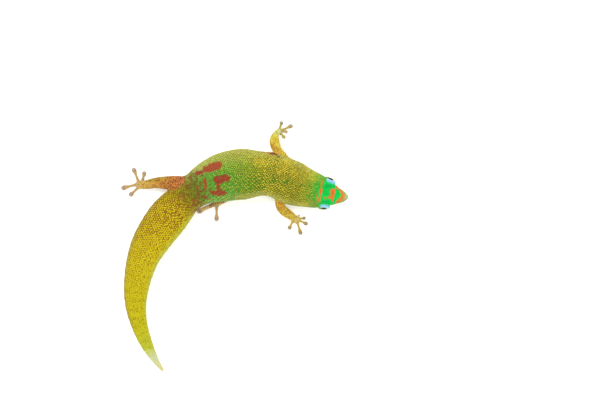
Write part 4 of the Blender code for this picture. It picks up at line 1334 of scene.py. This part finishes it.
# A root further than this from the skin is buried in another limb.
SNAP_REACH = 0.30

# Rings of scales round the eyes: spacing, how far behind the rim they start and where they end,
# as angles from the way that the eye looks.
MOUND_SPACING, RIM_SPACING = 0.25, 0.19
RIM_INSET, MOUND_ROWS_TO = 0.05, 2.1

# The plates of the lips: length, how far their row lies from the line of the mouth, how slender
# they are and the room that they take along their middle; and the heights of the two at the
# front of the snout, with how far they stand before it.
LIP_PLATE, LIP_ROW, LIP_SLENDER, LIP_ROOM = 0.80, 0.36, 0.60, 0.29
FRONT_PLATES, FRONT_OUT = (3.25, 2.35), 0.4

# Edge of the cells in which places already taken are looked up.
CELL = 0.5
scale_rng = np.random.default_rng(5)


def row_roots(ring, spacing, row):
    """Evenly spaced places round a ring, their share of the way round and their pick: which
    of three kinds of scale each is, so that like ones stand apart in every direction."""
    closed = np.vstack([ring, ring[:1]])
    arc = arc_along(closed)
    count = max(5, round(arc[-1] / spacing))
    order = np.arange(count)
    shares = (order + 0.5 * (row % 2)) / count
    at = shares * arc[-1]
    points = np.column_stack([np.interp(at, arc, closed[:, k]) for k in range(3)])
    return zip(points, shares, (order - row // 2 - row) % 3)


def trunk_roots(start, end):
    """Scale roots on a length of the trunk: places, ways to the tail, spacing, patch, pick.
    The rows are counted from the snout, so they run on from one length to the next."""
    found = []
    distance, row = 0.0, 0
    while distance < end:
        spacing = float(read(TRUNK_SPACING, distance))
        if distance >= start:
            way = np.array([*spine(distance)[1], 0.0])
            along = (distance - start) / (end - start)
            for place, share, pick in row_roots(trunk_ring(distance), spacing, row):
                found.append((place, way, spacing, (along, share), pick))
        distance += spacing * ROW_SHARE
        row += 1
    return found


def end_roots(rings, at, along):
    """Scale roots on the rounded end of the snout or tail."""
    way = np.array([*spine(at)[1], 0.0])
    found = []
    for row, ring in enumerate(rings[:-1]):
        for place, share, pick in row_roots(ring, END_SPACING, row):
            found.append((place, way, END_SPACING, (along, share), pick))
    return found


def tube_roots(tubes, spacing):
    """Scale roots on limbs or toes; the patches of each lie in its own strip of the unwrap."""
    found = []
    for chart, rings in enumerate(tubes):
        middles = np.array([ring.mean(axis=0) for ring in rings])
        arc = arc_along(middles)
        stack = np.array([ring.ravel() for ring in rings])
        for row, at in enumerate(np.arange(spacing / 2, arc[-1], spacing * ROW_SHARE)):
            ring = np.array([np.interp(at, arc, column) for column in stack.T])
            k = min(int(np.searchsorted(arc, at)), len(middles) - 1)
            way = middles[k] - middles[max(k - 1, 0)]
            for place, share, pick in row_roots(ring.reshape(-1, 3), spacing, row):
                patch = (at / arc[-1], (chart + share) / len(tubes))
                found.append((place, way, spacing, patch, pick))
    return found


def mound_roots(side):
    """Scale roots in rings round an eye, from its rim to where the mound leaves the head."""
    centre, way = eye_place(side)
    aside = way.orthogonal().normalized()
    across = np.array(way.cross(aside))
    centre, way, aside = np.array(centre), np.array(way), np.array(aside)
    turns = np.linspace(0.0, 2 * math.pi, 60, endpoint=False)
    radius = MOUND_RADIUS - SCALE_DEPTH
    edge = math.sqrt(radius**2 - RIM_OUT**2)
    rows = [
        (RIM_OUT, r, RIM_SPACING)
        for r in np.arange(
            EYE_OPENING + RIM_SPACING / 2, edge - RIM_SPACING / 2, RIM_SPACING * ROW_SHARE
        )
    ]
    step = MOUND_SPACING * ROW_SHARE / radius
    for angle in np.arange(math.acos(RIM_OUT / radius) + RIM_INSET, MOUND_ROWS_TO, step):
        rows.append((radius * math.cos(angle), radius * math.sin(angle), MOUND_SPACING))
    found = []
    for row, (out, round_at, spacing) in enumerate(rows):
        ring = np.array([
            centre + out * way + round_at * (math.cos(t) * aside + math.sin(t) * across)
            for t in turns
        ])
        for place, share, pick in row_roots(ring, spacing, row):
            patch = (0.4 + 0.012 * row, share)
            found.append((place, place - centre, spacing, patch, pick))
    return found


def lip_roots():
    """Roots of the long plates above and below the line of the mouth, and at its front."""
    found = []
    for side in (1, -1):
        for row, offset in enumerate((-LIP_ROW, LIP_ROW)):
            for at in np.arange(LIP_PLATE / 2, MOUTH_CORNER - LIP_PLATE, LIP_PLATE):
                sizes, flat, arc, _ = half_outline(at)
                scale = min(1.0, arc[-1] / FULL_ARC)
                down = mouth_arc(at, sizes, flat, arc) + offset * scale
                point, to_tail, to_left = spine(at)
                across, up = (np.interp(down, arc, flat[:, k]) for k in (0, 1))
                place = np.array([*(point + side * across * to_left), up])
                way = np.array([*to_tail, 0.0])
                found.append((place, way, LIP_PLATE, (at / MOUTH_CORNER, 0.3 + 0.2 * row), row))
    point, to_tail, to_left = spine(0.0)
    for up, share in zip(FRONT_PLATES, (0.9, 0.8)):
        place = np.array([*(point - FRONT_OUT * to_tail), up])
        found.append((place, np.array([*to_left, 0.0]), LIP_PLATE, (0.0, share), 0))
    return found


taken = {}


def cell_of(place):
    return tuple(int(v // CELL) for v in place)


def is_free(place, room):
    """Whether no scale has been set near here; if so the place is taken."""
    cell = cell_of(place)
    for step in itertools.product((-1, 0, 1), repeat=3):
        for other, reach in taken.get(tuple(map(sum, zip(cell, step))), ()):
            if (other - place).length < max(room, reach):
                return False
    taken.setdefault(cell, []).append((place, 0.0))
    return True


def keep_clear(spot, way):
    """Keeps small scales off a long plate."""
    for share in (-0.7, -0.35, 0.0, 0.35, 0.7):
        place = spot + way.normalized() * share * LIP_PLATE / 2
        taken.setdefault(cell_of(place), []).append((place, LIP_ROOM))


def settled(roots):
    """Roots set on the skin itself, without those buried by a limb or crowded at a join."""
    rows = []
    for place, way, spacing, patch, pick in roots:
        jitter = Vector(scale_rng.uniform(-JITTER, JITTER, 3) * spacing)
        spot, normal, face, gap = skin_tree.find_nearest(Vector(place) + jitter)
        if gap > SNAP_REACH or KINDS[skin_kinds[face]] in ("socket", "ear", "nostril"):
            continue
        if not is_free(spot, CROWDED * spacing):
            continue
        rows.append((*spot, *normal, *way, spacing, *patch, skin_kinds[face], pick))
    return np.array(rows)


def scale_tree():
    """Geometry nodes that set a low dome on each root, turned to lie along the body."""
    tree = bpy.data.node_groups.new("scale_coat", "GeometryNodeTree")
    for name, kind, value in (
        ("Geometry", "Geometry", None), ("Shoulder width", "Float", 0.66),
        ("Crown rise", "Float", 0.42), ("Rear lean", "Float", 0.10), ("Squareness", "Float", 0.0),
        ("Patch width", "Float", 0.003), ("Sides", "Int", 6), ("Material", "Material", None),
    ):
        socket = tree.interface.new_socket(name, in_out="INPUT", socket_type="NodeSocket" + kind)
        if value is not None:
            socket.default_value = value
    tree.interface.new_socket("Geometry", in_out="OUTPUT", socket_type="NodeSocketGeometry")
    given = tree.nodes.new("NodeGroupInput").outputs

    def out(socket, kind, inputs, **settings):
        return add_node(tree, kind, inputs, **settings).outputs[socket]

    def named(name):
        kind = "GeometryNodeInputNamedAttribute"
        return out("Attribute", kind, {"Name": name}, data_type="FLOAT_VECTOR")

    def number(operation, a, b):
        return out("Value", "ShaderNodeMath", {0: a, 1: b}, operation=operation)

    def vector(operation, inputs, socket="Vector"):
        return out(socket, "ShaderNodeVectorMath", inputs, operation=operation)

    def compare(operation, a, b):
        return out("Result", "FunctionNodeCompare", {0: a, 1: b}, operation=operation)

    cone = out(
        "Mesh", "GeometryNodeMeshCone",
        {"Vertices": given["Sides"], "Radius Top": given["Shoulder width"], "Radius Bottom": 1.0,
         "Depth": 1.0},
        fill_type="TRIANGLE_FAN",
    )
    place = out("Position", "GeometryNodeInputPosition", {})
    parts = add_node(tree, "ShaderNodeSeparateXYZ", {"Vector": place}).outputs
    flat = out("Vector", "ShaderNodeCombineXYZ", {"X": parts["X"], "Y": parts["Y"]})
    radius = vector("LENGTH", {0: flat}, "Value")
    inner = compare("LESS_THAN", radius, 0.05)
    upper = compare("GREATER_THAN", parts["Z"], 0.5)
    crown = out("Boolean", "FunctionNodeBooleanMath", {0: inner, 1: upper}, operation="AND")
    lift = out("Vector", "ShaderNodeCombineXYZ", {"X": given["Rear lean"], "Z": given["Crown rise"]})
    move = "GeometryNodeSetPosition"
    domed = out("Geometry", move, {"Geometry": cone, "Selection": crown, "Offset": lift})

    # A plate is drawn out towards its corners: each point goes outwards by the ratio of its
    # distance to the fourth root of the sum of its coordinates' fourth powers.
    squares = vector("MULTIPLY", {0: flat, 1: flat})
    root = number("POWER", vector("DOT_PRODUCT", {0: squares, 1: squares}, "Value"), 0.25)
    ratio = number("DIVIDE", radius, number("MAXIMUM", root, 0.001))
    share = number("MULTIPLY", number("SUBTRACT", ratio, 1.0), given["Squareness"])
    outer = compare("GREATER_THAN", radius, 0.05)
    outwards = vector("SCALE", {0: flat, "Scale": share})
    shaped = out("Geometry", move, {"Geometry": domed, "Selection": outer, "Offset": outwards})

    smooth = out("Geometry", "GeometryNodeSetShadeSmooth", {"Geometry": shaped})
    store = "GeometryNodeStoreNamedAttribute"
    marked = out(
        "Geometry", store, {"Geometry": smooth, "Name": "local", "Value": place},
        data_type="FLOAT_VECTOR", domain="POINT",
    )
    turn = out(
        "Rotation", "FunctionNodeAxesToRotation",
        {"Primary Axis": named("outward"), "Secondary Axis": named("lie")},
        primary_axis="Z", secondary_axis="X",
    )
    spread = out(
        "Instances", "GeometryNodeInstanceOnPoints",
        {"Points": given["Geometry"], "Instance": marked, "Rotation": turn, "Scale": named("span")},
    )
    real = out("Geometry", "GeometryNodeRealizeInstances", {"Geometry": spread})
    half_patch = number("MULTIPLY", given["Patch width"], 0.5)
    spot = vector("SCALE", {0: named("local"), "Scale": half_patch})
    unwrap = vector("ADD", {0: spot, 1: named("patch")})
    baked = out(
        "Geometry", store, {"Geometry": real, "Name": "OFBake", "Value": unwrap},
        data_type="FLOAT2", domain="CORNER",
    )
    final = add_node(
        tree, "GeometryNodeSetMaterial", {"Geometry": baked, "Material": given["Material"]}
    )
    result = tree.nodes.new("NodeGroupOutput").inputs["Geometry"]
    tree.links.new(final.outputs["Geometry"], result)
    return tree


SCALE_TREE = scale_tree()
scale_keratin = keratin("scale_keratin", 0.42, 0.05, 0.006, SCALE_LIGHTNESS)


def coat_piece(name, roots, height, form, slender=0.93):
    """Grows scales on roots and makes them one plain mesh that rides on the animal."""
    rows = settled(roots)
    spots, normals, ways, spacing = rows[:, :3], rows[:, 3:6], rows[:, 6:9], rows[:, 9]
    vary = scale_rng.uniform(0.92, 1.08, (len(rows), 3))
    long = SCALE_REACH * spacing
    span = np.column_stack([long, slender * long, np.full(len(rows), height)]) * vary
    chance = (rows[:, 13] + scale_rng.uniform(0.0, 1.0, len(rows))) / 3
    mesh = bpy.data.meshes.new(name)
    sunk = spots - normals * SUNK_SHARE * height
    mesh.from_pydata((sunk * MM + FRAME_SHIFT).tolist(), [], [])
    columns = {
        "outward": normals,
        "lie": ways,
        "span": span * MM,
        "patch": np.column_stack([0.01 + 0.98 * rows[:, 10:12], np.zeros(len(rows))]),
    }
    for key, values in columns.items():
        layer = mesh.attributes.new(key, "FLOAT_VECTOR", "POINT")
        layer.data.foreach_set("vector", values.ravel())
    colours = markings(spots, normals, rows[:, 12].astype(int), chance)
    store_tint(mesh, colours * scale_rng.uniform(0.90, 1.10, (len(rows), 1)))
    thing = placed(name, mesh)
    modifier = thing.modifiers.new("scales", "NODES")
    modifier.node_group = SCALE_TREE
    values = {**form, "Material": scale_keratin}
    for item in SCALE_TREE.interface.items_tree:
        if item.in_out == "INPUT" and item.name in values:
            modifier[item.identifier] = values[item.name]
    bpy.context.view_layer.update()
    graph = bpy.context.evaluated_depsgraph_get()
    thing.data = bpy.data.meshes.new_from_object(thing.evaluated_get(graph))
    thing.modifiers.remove(modifier)
    for key in ("local", *columns):
        layer = thing.data.attributes.get(key)
        if layer:
            thing.data.attributes.remove(layer)
    only_material(thing.data, scale_keratin)
    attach(thing, "root")
    return rows


# Forms of the scales: round beads, flatter plates that lap to the rear, and lip plates.
BEADS = {"Shoulder width": 0.66, "Crown rise": 0.42, "Rear lean": 0.05, "Sides": 6}
PLATES = {"Shoulder width": 0.76, "Crown rise": 0.22, "Rear lean": 0.22, "Sides": 6}
LABIALS = {
    "Shoulder width": 0.86, "Crown rise": 0.15, "Rear lean": 0.0, "Sides": 16, "Squareness": 0.8,
}

for row in coat_piece("coat_lips", lip_roots(), 0.05, LABIALS, LIP_SLENDER):
    keep_clear(Vector(row[:3]), Vector(row[6:9]))
eye_roots = mound_roots(1) + mound_roots(-1)
nose_roots, tip_roots = end_roots(nose_rings, 0.0, 0.0), end_roots(tail_rings, TRUNK_LENGTH, 1.0)
arms = [limb_tubes[name] for name in ("arm_left", "arm_right")]
legs = [limb_tubes[name] for name in ("leg_left", "thigh_right", "shank_right")]

# The rest of the coat, in the order that it grows: roots, slot, height of a scale and form.
COAT = {
    "coat_head": (eye_roots + trunk_roots(0.0, 17.0) + nose_roots, "head_skin", 0.075, BEADS),
    "coat_shoulders": (trunk_roots(17.0, 34.0), "back_skin", 0.085, BEADS),
    "coat_back": (trunk_roots(34.0, 48.0), "back_skin", 0.085, BEADS),
    "coat_hips": (trunk_roots(48.0, 63.5), "back_skin", 0.085, BEADS),
    "coat_tail": (trunk_roots(63.5, 120.5), "tail_skin", 0.08, PLATES),
    "coat_tail_tip": (
        trunk_roots(120.5, TRUNK_LENGTH) + tip_roots, "tail_tip_skin", 0.06, PLATES,
    ),
    "coat_arms": (tube_roots(arms, LIMB_SPACING), "limb_skin", 0.08, BEADS),
    "coat_legs": (tube_roots(legs, LIMB_SPACING), "limb_skin", 0.08, BEADS),
    "coat_toes": (tube_roots(toe_tubes, TOE_SPACING), "limb_skin", 0.05, BEADS),
}
for name, (roots, slot, height, form) in COAT.items():
    coat_piece(name, roots, height, form)


# Eyes
# Each eyeball is a wet, clear ball behind a fixed window of skin: a round black pupil, a thin
# bright ring and a dark brown iris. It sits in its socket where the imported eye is.

EYE_COLOURS = {"pupil": "#030202", "ring": "#7d4a2a", "iris": "#18080b", "rim": "#060304"}

# Where pupil, ring and iris end, along the ball from the middle of the pupil.
PUPIL, RING_WIDTH, IRIS = 0.50, 0.07, 1.25


def eye_material():
    """Wet eye: colours in rings round the way that it looks, under a clear glossy film."""
    made, tree, shader, place = new_material("wet_eye")
    from_pole = add_node(tree, "ShaderNodeAttribute", {}, attribute_name="from_pole")
    _, wander = noise_of(tree, place, 0.25, -0.04, 0.04)
    radius = add_node(
        tree, "ShaderNodeMath", {0: from_pole.outputs["Fac"], 1: wander}, operation="ADD"
    ).outputs["Value"]
    half = add_node(tree, "ShaderNodeMath", {0: radius, 1: 0.5}, operation="MULTIPLY")
    rings = add_node(tree, "ShaderNodeValToRGB", {"Fac": half.outputs["Value"]})
    stops = (
        (0.0, "pupil"), (PUPIL, "pupil"), (PUPIL + 0.03, "ring"), (PUPIL + RING_WIDTH, "ring"),
        (PUPIL + RING_WIDTH + 0.06, "iris"), (IRIS, "iris"), (IRIS + 0.15, "rim"),
    )
    elements = rings.color_ramp.elements
    while len(elements) < len(stops):
        elements.new(1.0)
    for element, (at, name) in zip(elements, stops):
        element.position = at / 2
        element.color = (*linear(EYE_COLOURS[name]), 1.0)
    tree.links.new(rings.outputs["Color"], shader["Base Color"])
    shader["Roughness"].default_value = 0.06
    shader["Specular IOR Level"].default_value = 0.22
    shader["Coat Weight"].default_value = 0.1
    shader["Coat Roughness"].default_value = 0.03
    return made


wet_eye = eye_material()
for side, name in ((1, "left"), (-1, "right")):
    centre, way = eye_place(side)
    radii = (EYE["radius"],) * 3
    eyeball = ball("eyeball_" + name, centre, radii, way, 64, "socket")
    points = np.array([vert.co for vert in eyeball.data.vertices])
    towards_pole = (points - centre) @ np.array(way) / EYE["radius"]
    layer = eyeball.data.attributes.new("from_pole", "FLOAT", "POINT")
    layer.data.foreach_set("value", np.arccos(np.clip(towards_pole, -1, 1)) * EYE["radius"])
    set_in_frame(eyeball, wet_eye)
    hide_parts("eye_" + name)

for material in kind_materials:
    bpy.data.materials.remove(material)


# Floor, light and camera
# A sheet of matt white film, faintly lit from below, under an even white sky, with a small soft
# lamp high on the left and a wide one on the right. The camera looks straight down.

FLOOR_SIZE, FLOOR_DROP, FLOOR_GLOW = 1.6, 0.02, 0.22
SKY_STRENGTH = 0.9

# Lamps: place, size and power.
LAMPS = {"key": ((-0.35, 0.35, 0.75), 0.26, 3.2), "fill": ((0.45, -0.30, 0.70), 0.6, 1.2)}

# The camera's height in metres, the height on the animal at which a pixel measures PIXEL
# millimetres, and the pixel of the photo over the plan's origin.
CAMERA_HEIGHT, TRUE_HEIGHT = 1.005, 5.0
SENSOR = 36.0
PIXEL = 0.355
PHOTO_SIZE = (612, 408)
PLAN_ORIGIN_PIXEL = (233.5, 246.5)

bm = bmesh.new()
bmesh.ops.create_grid(bm, x_segments=4, y_segments=4, size=FLOOR_SIZE / 2)
bmesh.ops.translate(bm, vec=(0.0, 0.0, -FLOOR_DROP * MM), verts=bm.verts)
floor_mesh = bpy.data.meshes.new("floor")
bm.to_mesh(floor_mesh)
bm.free()
floor = placed("floor", floor_mesh)
film = bpy.data.materials.new("matt_film")
film.use_nodes = True
for name, value in {
    "Base Color": (*linear("#fbfbfb"), 1.0), "Roughness": 0.95, "Specular IOR Level": 0.2,
    "Emission Color": (1.0, 1.0, 1.0, 1.0), "Emission Strength": FLOOR_GLOW,
}.items():
    film.node_tree.nodes["Principled BSDF"].inputs[name].default_value = value
floor_mesh.materials.append(film)
floor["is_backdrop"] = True

world = bpy.data.worlds.new("white_sky")
world.use_nodes = True
world.node_tree.nodes["Background"].inputs["Color"].default_value = (1.0, 1.0, 1.0, 1.0)
world.node_tree.nodes["Background"].inputs["Strength"].default_value = SKY_STRENGTH
bpy.context.scene.world = world

for name, (place, size, power) in LAMPS.items():
    data = bpy.data.lights.new(name, "AREA")
    data.shape = "SQUARE"
    data.size = size
    data.energy = power
    lamp = placed(name, data)
    lamp.location = place
    lamp.rotation_euler = (-Vector(place)).to_track_quat("-Z", "Y").to_euler()

lens = bpy.data.cameras.new("camera")
lens.sensor_width = SENSOR
lens.lens = SENSOR / (PHOTO_SIZE[0] * PIXEL * MM) * (CAMERA_HEIGHT - TRUE_HEIGHT * MM)
camera = placed("camera", lens)
camera.location = (
    (PHOTO_SIZE[0] / 2 - PLAN_ORIGIN_PIXEL[0]) * PIXEL * MM + FRAME_SHIFT[0],
    (PLAN_ORIGIN_PIXEL[1] - PHOTO_SIZE[1] / 2) * PIXEL * MM + FRAME_SHIFT[1],
    CAMERA_HEIGHT,
)
bpy.context.scene.camera = camera
bpy.context.scene.view_settings.view_transform = "Standard"

sizes = {"cad": [list(v) for v in cad_box], "visual": [list(v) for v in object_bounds()]}
